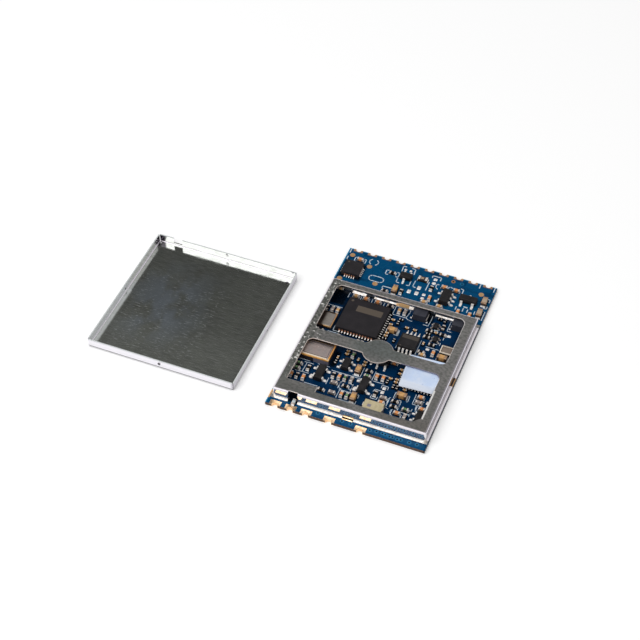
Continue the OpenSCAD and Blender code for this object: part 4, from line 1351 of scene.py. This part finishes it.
    def print_outlines(self) -> MeshObject:
        """Models the printed ink lines as thin strokes with round ends.

        Returns:
            One piece with every stroke.
        """
        bpy.ops.object.select_all(action="DESELECT")
        bpy.ops.mesh.primitive_plane_add(size=1, location=(0, 0, 0))
        piece = bpy.context.object
        piece.name = "printed_outlines"
        bpy.ops.object.mode_set(mode="EDIT")
        bpy.ops.mesh.delete(type="VERT")
        for (x0, y0), (x1, y1) in (stroke for line in self.outlines for stroke in zip(line, line[1:])):
            wide = self.fine_ink_width if y0 < self.fine_ink_before else self.ink_width
            length = math.hypot(x1 - x0, y1 - y0) + wide
            turn = math.atan2(y1 - y0, x1 - x0)
            bpy.ops.mesh.primitive_plane_add(size=1, location=(0, 0, 0))
            bpy.ops.transform.resize(value=(length, wide, 1), center_override=(0, 0, 0))
            bpy.ops.transform.rotate(value=-turn, orient_axis="Z", center_override=(0, 0, 0))
            bpy.ops.transform.translate(value=((x0 + x1) / 2, (y0 + y1) / 2, self.board_top))
        bpy.ops.mesh.select_all(action="SELECT")
        bpy.ops.mesh.bevel(offset=self.ink_rounding, segments=2, affect="VERTICES")
        bpy.ops.mesh.select_all(action="SELECT")
        bpy.ops.mesh.extrude_region_move(TRANSFORM_OT_translate={"value": (0, 0, self.ink_height)})
        bpy.ops.mesh.select_all(action="SELECT")
        bpy.ops.mesh.normals_make_consistent(inside=False)
        return to_metres(piece)


@dataclass
class ShieldFrame(Assembly):
    """Pressed shield frame with windows, and the solder seam along its feet."""

    burr: float = 0.06
    roll: float = 0.14
    bead: float = 0.08
    right_bead: float = 0.09
    right_from: float = 10.4
    bead_smooth: float = math.radians(60)
    windows: Point = (12.2, 12.5)
    disc_reach: Point = (4.4, 6.0)
    seam_width: float = 0.26
    right_seam_width: float = 0.3
    seam_height: float = 0.13
    seam_drop: float = 0.93
    seam_steps: int = 24
    seam_ripple: float = 0.012
    corner: float = 0.4
    notch: float = 1.75
    notch_room: float = 0.05
    notch_line: float = 0.13
    notch_ends: float = 0.06
    notch_drop: float = 0.9
    notch_round: float = 0.2
    notch_edges: Point = (-0.225, 0.315)
    mouse: Point = (-9.845, -8.245)

    def build(self) -> None:
        """Dresses the frame and solders it down."""
        self.keep(self.beads(), Coat.ROLLED, "frame_sheet")
        self.soften("shield_frame", self.burr, Coat.FRAME, "frame_sheet", 3, self.roll)
        self.keep(self.seam(), Coat.SEAM, "tinned_copper")
        self.keep(self.notch_lines(), Coat.BRIGHT_GOLD, "gold_plating")

    def notch_lines(self) -> MeshObject:
        """Models the two gold edges that shine on either side of the dark slot in the front foot notch.

        Returns:
            One piece with both edges.
        """
        frame = self.box("shield_frame")
        template = wedge(FRONT, self.notch_drop)
        pick(template, "EDGE", lambda m: m.y > -0.1 and m.z > 0.9)
        bpy.ops.mesh.bevel(offset=self.notch_round, segments=2, affect="EDGES")
        size = (self.notch - self.notch_ends, self.notch_line, self.notch_line)
        places = [(frame.middle.x, frame.low.y - out, self.board_top) for out in self.notch_edges]
        return scatter("notch_gold_edges", template, [(place, RIGHT, size) for place in places])

    def beads(self) -> MeshObject:
        """Models the bright rolled lip along the window edges that face the camera or go round the disc;
        its pale, half matt coat is a painted highlight.

        Returns:
            One piece with every lip.
        """
        frame = self.box("shield_frame")
        piece = self.copy_node("shield_frame", "window_lips")
        lips = set()
        for edge, side, top in self.sharp_edges(piece):
            a, b = (piece.data.vertices[i].co for i in edge.vertices)
            at = (a + b) / 2
            x, y = (abs(c) for c in (at - frame.middle).xy)
            inside = x < self.windows[0] and y < self.windows[1] and at.z > frame.high.z - 0.05
            behind = side.y > 0.3 and not (x < self.disc_reach[0] and y < self.disc_reach[1])
            if top.z > 0.9 and abs(side.z) < 0.3 and inside and not behind:
                lips.add(tuple(at))
        bpy.ops.object.mode_set(mode="EDIT")
        pick(piece, "EDGE", lambda m: tuple(m) not in lips)
        bpy.ops.mesh.delete(type="EDGE_FACE")
        bpy.ops.mesh.select_all(action="SELECT")
        bpy.ops.mesh.delete_loose(use_verts=True, use_edges=False, use_faces=False)
        bpy.ops.mesh.select_all(action="SELECT")
        bpy.ops.transform.translate(value=(0, 0, -self.bead))
        bpy.ops.object.mode_set(mode="OBJECT")
        bpy.ops.object.convert(target="CURVE")
        curve = bpy.context.object.data
        curve.bevel_depth = self.bead
        for knot in (knot for spline in curve.splines for knot in spline.points):
            if knot.co.x > self.right_from:
                knot.radius = self.right_bead / self.bead
                knot.co.z -= self.right_bead - self.bead
        curve.bevel_resolution = 1
        curve.use_fill_caps = True
        bpy.ops.object.convert(target="MESH")
        return to_metres(bpy.context.object, self.bead_smooth)

    def seam(self) -> MeshObject:
        """Models the wedge of solder outside each wall, open at the notches and the mouse hole.

        Returns:
            One piece with every stretch of the seam.
        """
        frame = self.box("shield_frame")
        low, high = frame.low, frame.high
        half = self.notch / 2 + self.notch_room
        spots = []
        for axis, edge, way in ((0, low.y, RIGHT), (0, high.y, LEFT), (1, low.x, FRONT), (1, high.x, BACK)):
            at = frame.middle[axis]
            cuts = [low[axis] + self.corner, at - half, at + half, high[axis] - self.corner]
            if way == RIGHT:
                cuts[1:1] = self.mouse
            wide = self.right_seam_width if way == BACK else self.seam_width
            for start, end in zip(cuts[::2], cuts[1::2]):
                along = (start + end) / 2
                x, y = (edge, along) if axis else (along, edge)
                spots.append(((x, y, self.board_top), way, (end - start, wide, self.seam_height)))
        template = wedge(FRONT, self.seam_drop)
        pick(template, "EDGE", lambda m: abs(m.x) < 0.1)
        bpy.ops.mesh.subdivide(number_cuts=self.seam_steps)
        return scatter("frame_solder_seam", template, spots, self.seam_ripple)


@dataclass
class ShieldLid(Assembly):
    """Pressed lid that lies beside the module with its rim up."""

    burr: float = 0.03

    def build(self) -> None:
        """Rounds the sheared edges of the lid and dresses it."""
        self.soften("shield_lid", self.burr, Coat.LID, "lid_sheet")


@dataclass
class FlatChips(Assembly):
    """Three flat chips with lead ends in their sides, and the heat pad on one of them."""

    chips: tuple[str, ...] = ("video_chip", "tuner_chip", "controller_chip")
    foot_reach: float = 0.28
    foot_share: float = 0.64
    foot_height: float = 0.14
    foot_drop: float = 0.75
    foot_round: float = 0.2
    long_foot: float = 0.36
    long_share: float = 0.512
    pad_turn: float = math.radians(3)
    pad_edge: float = 0.2
    pad_slump: float = 0.42
    pad_slope: float = 0.6
    pad_sink: float = 0.03
    pad_play: Point = (0.04, 0.02)
    pad_ripple: float = 0.018
    pad_smooth: float = math.radians(60)

    def build(self) -> None:
        """Dresses the chips, solders their leads and models the soft pad."""
        for name in self.chips:
            self.dress(Coat.CHIP, name + "_body")
            self.dress(Coat.CHIP_LEADS, name + "_leads")
        self.keep(self.lead_solder(), Coat.SOLDER, "tinned_copper")
        self.keep(self.heat_pad(), Coat.GEL, "thermal_gel", "thermal_pad")

    def lead_solder(self) -> MeshObject:
        """Models the foot of solder in front of each lead end, but for the dry left row of the video chip.

        Returns:
            One piece with every foot.
        """
        template = wedge(RIGHT, self.foot_drop)
        bpy.ops.mesh.bevel(offset=self.foot_round, segments=2, affect="EDGES")
        spots = []
        for name in self.chips:
            body = islands(self.nodes[name + "_body"])[0]
            for lead in islands(self.nodes[name + "_leads"]):
                way = outward(lead.middle - body.middle)
                sideways = way.x if name == "video_chip" else 0
                if sideways < 0:
                    continue
                reach, share = self.foot_reach, self.foot_share
                if sideways > 0:
                    reach, share = self.long_foot, self.long_share
                long, wide = lead.span(way)
                start = lead.middle + way * long / 2
                spots.append(((start.x, start.y, body.low.z), way, (reach, wide * share, self.foot_height)))
        return scatter("lead_solder", template, spots)

    def heat_pad(self) -> MeshObject:
        """Models the heat pad as a soft cut sheet with slumped edges.

        Returns:
            The pad, which stands for its CAD node.
        """
        box = self.box("thermal_pad")
        side = box.size.x / (math.cos(self.pad_turn) + math.sin(self.pad_turn))
        tall = box.size.z
        edge, foot, top = -side * 0.4, tall * 0.3, tall * 0.7
        wide, high = side - self.pad_play[0], tall - self.pad_play[1]
        pad = new_cube("soft_heat_pad", (wide, wide, high), (0, 0, tall / 2))
        pick(pad, "EDGE", lambda m: m.y < edge and m.z < foot)
        bpy.ops.transform.translate(value=(0, -self.pad_slump, 0))
        pick(pad, "EDGE", lambda m: m.y < edge and m.z > top)
        bpy.ops.transform.translate(value=(0, self.pad_slope, 0))
        pick(pad, "EDGE", lambda m: m.x < edge and m.z < foot)
        bpy.ops.transform.translate(value=(-self.pad_slump / 2, 0, 0))
        bpy.ops.mesh.select_all(action="SELECT")
        bpy.ops.mesh.bevel(offset=self.pad_edge, segments=3, affect="EDGES")
        pick(pad, "FACE", lambda m: True)
        bpy.ops.mesh.subdivide(number_cuts=3)
        pick(pad, "VERT", lambda m: m.z > tall * 0.6 and max(abs(m.x), abs(m.y)) < side / 2 - self.pad_edge)
        bpy.ops.transform.translate(value=(0, 0, -self.pad_sink))
        pick(pad, "VERT", lambda m: m.z > 0.02)
        bpy.ops.transform.vertex_random(offset=self.pad_ripple, uniform=0.0, normal=0.0, seed=7)
        bpy.ops.mesh.select_all(action="SELECT")
        bpy.ops.transform.rotate(value=-self.pad_turn, orient_axis="Z", center_override=(0, 0, 0))
        bpy.ops.transform.translate(value=(box.middle.x, box.middle.y, box.low.z))
        bpy.ops.mesh.normals_make_consistent(inside=False)
        return to_metres(pad, self.pad_smooth)


@dataclass
class LeggedPackages(Assembly):
    """Moulded packages on gull-wing legs, each foot in a puddle of solder."""

    edge: float = 0.05
    toe: float = 0.2
    toe_share: float = 0.6
    small_leg: float = 0.3
    small_toe_share: float = 0.2
    under_share: float = 0.55
    margin: float = 0.07
    rise: float = 0.2
    puddle_shape: Loaf = (0.62, 0.26, 3)
    rear_row: Point = (2.0, 5.0)
    rear_row_before: float = 4.0
    rear_toe: float = 0.62
    rear_share: float = 0.66
    packages: tuple[str, ...] = (
        "amplifier", "regulator", "rear_transistor", "buffer_transistor", "mixer_transistor",
    )
    groups: tuple[str, ...] = ("radio_transistor", "switch_transistor", "tiny_transistor")

    def build(self) -> None:
        """Rounds the bodies, dresses the legs and solders the feet."""
        feet = []
        for name in self.packages:
            feet += self.package(name + "_body", name + "_leads")
        for name in self.groups:
            feet += self.package(name + "_bodies", name + "_leads")
        spots = [self.puddle(*foot) for foot in feet]
        solder = scatter("leg_solder", loaf(*self.puddle_shape), spots)
        self.keep(solder, Coat.SOLDER, "tinned_copper")

    def package(self, body: str, leads: str) -> list[tuple[Box, Vector]]:
        """Dresses one kind of package.

        Args:
            body: node of its moulded bodies.
            leads: node of its legs.

        Returns:
            Each leg's box with the direction in which it leaves its body.
        """
        self.soften(body, self.edge, Coat.PACKAGE, "package_mould")
        self.dress(Coat.LEGS, leads)
        bodies = islands(self.nodes[body])
        found = []
        for leg in islands(self.nodes[leads]):
            owner = min(bodies, key=lambda b: (b.middle - leg.middle).length)
            away = leg.middle - owner.middle
            found.append((leg, outward(Vector((away.x / owner.size.x, away.y / owner.size.y, 0)))))
        return found

    def puddle(self, leg: Box, way: Vector) -> Spot:
        """Sizes the low loaf of solder round the end of a leg, thin and long in the amplifier's rear row.

        Args:
            leg: the leg's box.
            way: direction in which it leaves its body.

        Returns:
            Place, direction and size of the loaf.
        """
        long, wide = leg.span(way)
        small = wide < self.small_leg
        wide += 0 if small else self.margin
        toe = min(self.toe, wide * (self.small_toe_share if small else self.toe_share))
        left, right = self.rear_row
        if way == BACK and left < leg.middle.x < right and leg.middle.y < self.rear_row_before:
            toe, wide = self.rear_toe, wide * self.rear_share
        length = long * self.under_share + toe
        tip = leg.middle + way * (long / 2 + toe - length / 2)
        return (tip.x, tip.y, self.board_top), way, (length, wide, self.rise)


@dataclass
class Cans(Assembly):
    """Oscillator and crystals: ceramic base, gold rim and sunk metal lid."""

    edge: float = 0.04

    def build(self) -> None:
        """Rounds and dresses the cans."""
        self.soften("oscillator_base", self.edge, Coat.CAN_BASE, "can_ceramic")
        self.soften("crystal_bases", self.edge, Coat.CAN_BASE, "can_ceramic")
        self.dress(Coat.CAN_GOLD, "oscillator_rim", "crystal_rims")
        self.soften("oscillator_lid", self.edge, Coat.OSC_LID, "oscillator_metal")
        self.soften("crystal_lids", self.edge, Coat.XTAL_LID, "crystal_metal")


@dataclass
class CoilsAndFilter(Assembly):
    """Two power inductors and the ceramic antenna filter."""

    core_edge: float = 0.09
    filter_edge: float = 0.05

    def build(self) -> None:
        """Rounds and dresses the coils and the filter."""
        self.soften("inductor_cores", self.core_edge, Coat.CORE, "core_ferrite")
        self.soften("filter_block", self.filter_edge, Coat.FILTER, "filter_ceramic")
        # the small caps finish gives the terminals' sides painted shade
        self.dress(Coat.SMALL_CAPS, "inductor_terminals")
        self.dress(Coat.CAPS, "filter_terminals")


@dataclass
class ChipParts(Assembly):
    """Capacitors, resistors and coils with their end caps, solder and marks."""

    cap_edge: float = 0.045
    body_edge: float = 0.0225
    opening_height: float = 0.01
    opening_round: float = 0.12
    opening_margin: Point = (0.34, 0.2)
    # plates under the rows of legs, near black as painted shade between the legs
    lead_rows: tuple[Rectangle, ...] = (
        (-1.25, 3.3, 0.75, 6.9), (-5.03, -0.42, 6.9, 0.62), (3.55, -1.05, 3.3, 0.9),
    )
    bare_pads: tuple[Rectangle, ...] = (
        (-2.49, 16.7, 0.45, 0.42), (-1.57, 16.68, 0.45, 0.42), (1.98, 6.75, 0.3, 0.34),
        (4.66, 6.64, 0.34, 0.3), (8.6, 6.64, 0.3, 0.34),
    )
    pad_height: float = 0.12
    pad_shape: Loaf = (0.7, 0.14, 3)
    dab_share: float = 0.72
    dab_height: float = 0.03
    dab_sunk: float = 0.01
    dab_shape: Loaf = (1.0, 0.22, 2)
    bodies: tuple[tuple[str, Coat, str], ...] = (
        ("tan_capacitors", Coat.TAN, "tan_ceramic"),
        ("orange_capacitors", Coat.ORANGE, "orange_ceramic"),
        ("grey_capacitors", Coat.GREY, "grey_ceramic"),
        ("marked_coils", Coat.COIL, "coil_ceramic"),
        ("resistors", Coat.FILM, "resistor_film"),
        ("antenna_capacitor", Coat.WHITE, "white_ceramic"),
        ("ferrite_body", Coat.FERRITE, "grey_ceramic"),
        ("large_capacitors", Coat.TAN, "tan_ceramic"),
        ("small_capacitors", Coat.TAN, "tan_ceramic"),
        ("small_resistors", Coat.FILM, "resistor_film"),
    )
    ends: tuple[tuple[str, Coat], ...] = (
        ("middle_end_caps", Coat.CAPS),
        ("resistor_end_caps", Coat.CAPS),
        ("large_end_caps", Coat.LARGE_CAPS),
        ("small_end_caps", Coat.SMALL_CAPS),
    )
    small_cap: float = 0.36
    lean: Area = ((5.4, 8.3), (1.2, 7.4))
    fillet_reach: tuple[float, float, float] = (0.02, 0.22, 0.14)
    fillet_climb: Point = (0.7, 0.35)
    fillet_drop: float = 0.9
    fillet_sag: float = 0.14
    wide_cap: float = 0.7

    def build(self) -> None:
        """Rounds every part, solders its ends and paints the coils' marks."""
        middles = [b.middle for name, _, _ in self.bodies for b in islands(self.nodes[name])]
        for name, coat, slot in self.bodies:
            self.soften(name, self.body_edge, coat, slot)
        caps = []
        for name, coat in self.ends:
            caps += islands(self.nodes[name])
            self.soften(name, self.cap_edge, coat, "end_caps")
        self.keep(self.fillets(caps, middles), Coat.SOLDER, "tinned_copper")
        self.keep(self.marks(), Coat.COIL_MARK, "coil_ceramic")
        self.keep(self.pads(), Coat.SOLDER, "tinned_copper", "tinned_pads")
        # near-black plates round parts and legs: painted shade
        self.keep(self.shaded_openings(caps, middles), Coat.OPENING, None)

    def shaded_openings(self, caps: Sequence[Box], middles: Sequence[Vector]) -> MeshObject:
        """Models the opening in the mask under each part, painted near black as painted shade, which
        shows as a dark border round its ends.

        Args:
            caps: boxes of the end caps.
            middles: middles of the bodies that they end.

        Returns:
            One piece with a thin dark plate for each part and each row of leads.
        """
        template = new_cube("template", (1, 1, 1), (0, 0, 0.5))
        pick(template, "EDGE", lambda m: abs(m.z - 0.5) < 0.01)
        bpy.ops.mesh.bevel(offset=self.opening_round, segments=2, affect="EDGES")
        plates = []
        for middle in middles:
            ends = sorted(caps, key=lambda cap: (cap.middle - middle).length)[:2]
            part = Box.around([corner for end in ends for corner in (end.low, end.high)])
            x, y = part.size.xy
            long, across = self.opening_margin
            more = (long, across) if x > y else (across, long)
            plates.append((part.middle.x, part.middle.y, x + more[0], y + more[1]))
        plates += self.lead_rows
        return scatter("shaded_mask_openings", template, self.flat(plates, self.opening_height))

    def flat(self, plates: Iterable[Rectangle], height: float) -> list[Spot]:
        """Lays rectangles of this height on the board."""
        return [((x, y, self.board_top), RIGHT, (wide, deep, height)) for x, y, wide, deep in plates]

    def fillets(self, caps: Iterable[Box], middles: Sequence[Vector]) -> MeshObject:
        """Models the wedge of solder that climbs the end of each part, but for small and crowded ones.

        Args:
            caps: boxes of the end caps.
            middles: middles of the bodies that they end.

        Returns:
            One piece with every wedge.
        """
        template = wedge(RIGHT, self.fillet_drop)
        pick(template, "EDGE", lambda m: abs(m.x - 0.5) < 0.01 and m.z > 0.3)
        bpy.ops.mesh.subdivide(number_cuts=2)
        pick(template, "VERT", lambda m: 0.2 < m.x < 0.8 and m.z > 0.2)
        bpy.ops.transform.translate(value=(0, 0, -self.fillet_sag))
        least, share, most = self.fillet_reach
        spots = []
        for cap in caps:
            crowded = all(low < at < high for at, (low, high) in zip(cap.middle, self.lean))
            if crowded or max(cap.size.xy) < self.small_cap:
                continue
            owner = min(middles, key=lambda m: (m - cap.middle).length)
            way = outward(cap.middle - owner)
            long, wide = cap.span(way)
            start = cap.middle + way * long / 2
            climb = cap.size.z * self.fillet_climb[wide >= self.wide_cap]
            size = (min(least + wide * share, most), wide, climb)
            spots.append(((start.x, start.y, self.board_top), way, size))
        return scatter("part_solder_fillets", template, spots)

    def marks(self) -> MeshObject:
        """Models the dab of green paint on each marked coil.

        Returns:
            One piece with every dab.
        """
        spots = []
        for coil in islands(self.nodes["marked_coils"]):
            wide, deep = coil.size.xy * self.dab_share
            place = (coil.middle.x, coil.middle.y, coil.high.z - self.dab_sunk)
            spots.append((place, RIGHT, (wide, deep, self.dab_height)))
        return scatter("green_coil_marks", loaf(*self.dab_shape), spots)

    def pads(self) -> MeshObject:
        """Models the low pillow of solder on each pad that carries no part.

        Returns:
            One piece with every pillow.
        """
        pads = [(*box.middle.xy, *box.size.xy) for box in islands(self.nodes["tinned_pads"])]
        spots = self.flat((*pads, *self.bare_pads), self.pad_height)
        return scatter("solder_pillows", loaf(*self.pad_shape), spots)


# Studio


@dataclass
class Studio:
    """White table, soft lamp, pale surroundings with a dark card behind, and the camera."""

    azimuth: float = math.radians(22.11)
    elevation: float = math.radians(47.10)
    roll: float = math.radians(-0.28)
    target: tuple[float, float, float] = (-11.75, 1.35, 0.0)
    distance: float = 245.6
    lens: float = 85.13
    sensor: float = 36.0
    clip: Point = (0.005, 20.0)
    table: float = 3.0
    table_drop: float = 0.02
    paper: str = "#FDFDFD"
    paper_glow: float = 0.22
    card_level: float = 0.1
    card_edge: float = math.radians(38)
    card_drop: float = math.radians(6)
    fill_low: float = 0.12
    fill_high: float = 1.3
    key_power: float = 0.7
    key_size: float = 0.34
    key_place: tuple[float, float, float] = (-0.16, -0.2, 0.34)
    key_aim: tuple[float, float, float] = (-0.012, -0.002, 0.0)

    def build(self) -> None:
        """Sets up the whole studio."""
        bpy.context.scene.view_settings.view_transform = "Standard"
        self.lay_table()
        self.surround()
        self.light()
        self.place_camera()

    def lay_table(self) -> None:
        """Lays the white paper table, which looks white to eye and mirror and keeps the shadow."""
        bpy.ops.object.select_all(action="DESELECT")
        bpy.ops.mesh.primitive_plane_add(size=self.table, location=(0, 0, -self.table_drop * MM))
        table = bpy.context.object
        table.name = "white_table"
        paper = bpy.data.materials.new("white_paper")
        on = Canvas.of(paper)
        seen = on.add("LightPath", out="Is Camera Ray")
        for kind in ("Is Glossy Ray", "Is Transmission Ray"):
            seen = on.add("Math", (seen, on.add("LightPath", out=kind)), operation="MAXIMUM")
        strength = on.add("Math", (seen, self.paper_glow), operation="MULTIPLY")
        cover = on.add("BsdfDiffuse", {"Color": linear(self.paper)})
        glow = on.add("Emission", {"Strength": strength})
        on.add("OutputMaterial", (on.add("AddShader", (cover, glow)),))
        table.data.materials.append(paper)
        table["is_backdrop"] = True

    def toward(self, azimuth: float, elevation: float) -> Vector:
        """Direction from the part to a place at these angles."""
        flat = math.cos(elevation)
        return Vector((math.sin(azimuth) * flat, -math.cos(azimuth) * flat, math.sin(elevation)))

    def surround(self) -> None:
        """Surrounds the table with soft overhead light and a dark card, which flat metal mirrors."""
        world = bpy.data.worlds.new("pale_studio")
        bpy.context.scene.world = world
        on = Canvas.of(world)
        card = self.toward(self.azimuth + math.pi, self.elevation - self.card_drop)
        way = on.add("TexCoord", out="Generated")
        near = on.add("VectorMath", (way, card), out="Value", operation="DOT_PRODUCT")
        level = on.add("MapRange", (near, math.cos(self.card_edge), 1.0, 1.0, self.card_level))
        rays = [on.add("LightPath", out=kind) for kind in ("Is Glossy Ray", "Is Transmission Ray")]
        mirror = on.add("Math", rays, operation="MAXIMUM")
        height = on.add("SeparateXYZ", (way,), out=2)
        height = on.add("Math", (height, height), operation="MULTIPLY")
        overhead = on.add("MapRange", (height, 0.0, 1.0, self.fill_low, self.fill_high))
        plain = on.add("Mix", (on.add("LightPath", out="Is Camera Ray"), overhead, 1.0))
        sky = on.add("Background", {"Strength": on.add("Mix", (mirror, plain, level))})
        on.add("OutputWorld", (sky,))

    def light(self) -> None:
        """Hangs one soft key lamp over the front left of the table."""
        lamp = bpy.data.lights.new("soft_key", "AREA")
        lamp.energy = self.key_power
        lamp.size = self.key_size
        holder = bpy.data.objects.new("soft_key", lamp)
        holder.location = self.key_place
        aim = Vector(self.key_aim) - Vector(self.key_place)
        holder.rotation_euler = aim.to_track_quat("-Z", "Y").to_euler()
        bpy.context.scene.collection.objects.link(holder)

    def place_camera(self) -> None:
        """Puts the camera where the photograph was taken from."""
        camera = bpy.data.cameras.new("photo_camera")
        camera.lens = self.lens
        camera.sensor_width = self.sensor
        camera.clip_start, camera.clip_end = self.clip
        holder = bpy.data.objects.new("photo_camera", camera)
        back = self.toward(self.azimuth, self.elevation)
        look = (-back).to_track_quat("-Z", "Y").to_matrix().to_4x4()
        place = (Vector(self.target) + back * self.distance) * MM
        holder.matrix_world = Matrix.Translation(place) @ look @ Matrix.Rotation(self.roll, 4, "Z")
        bpy.context.scene.collection.objects.link(holder)
        bpy.context.scene.camera = holder


def main() -> None:
    """Builds the sub-assemblies in order, reports their pieces and measures the model's bounds."""
    logging.basicConfig(level=logging.INFO, format="%(name)s: %(message)s")
    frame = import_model()
    cad_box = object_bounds()
    kinds = (
        CircuitBoard, ShieldFrame, ShieldLid, FlatChips, LeggedPackages, Cans, CoilsAndFilter, ChipParts,
    )
    for kind in kinds:
        part = kind(frame["nodes"])
        part.build()
        for piece in part.made:
            LOG.info("%s: %s, %d faces", kind.__name__, piece.name, len(piece.data.polygons))
    Studio().build()
    bpy.ops.object.select_all(action="DESELECT")
    bpy.context.view_layer.update()
    boxes = {"cad": cad_box, "visual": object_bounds()}
    {name: [list(corner) for corner in box] for name, box in boxes.items()}


if __name__ == "__main__":
    main()
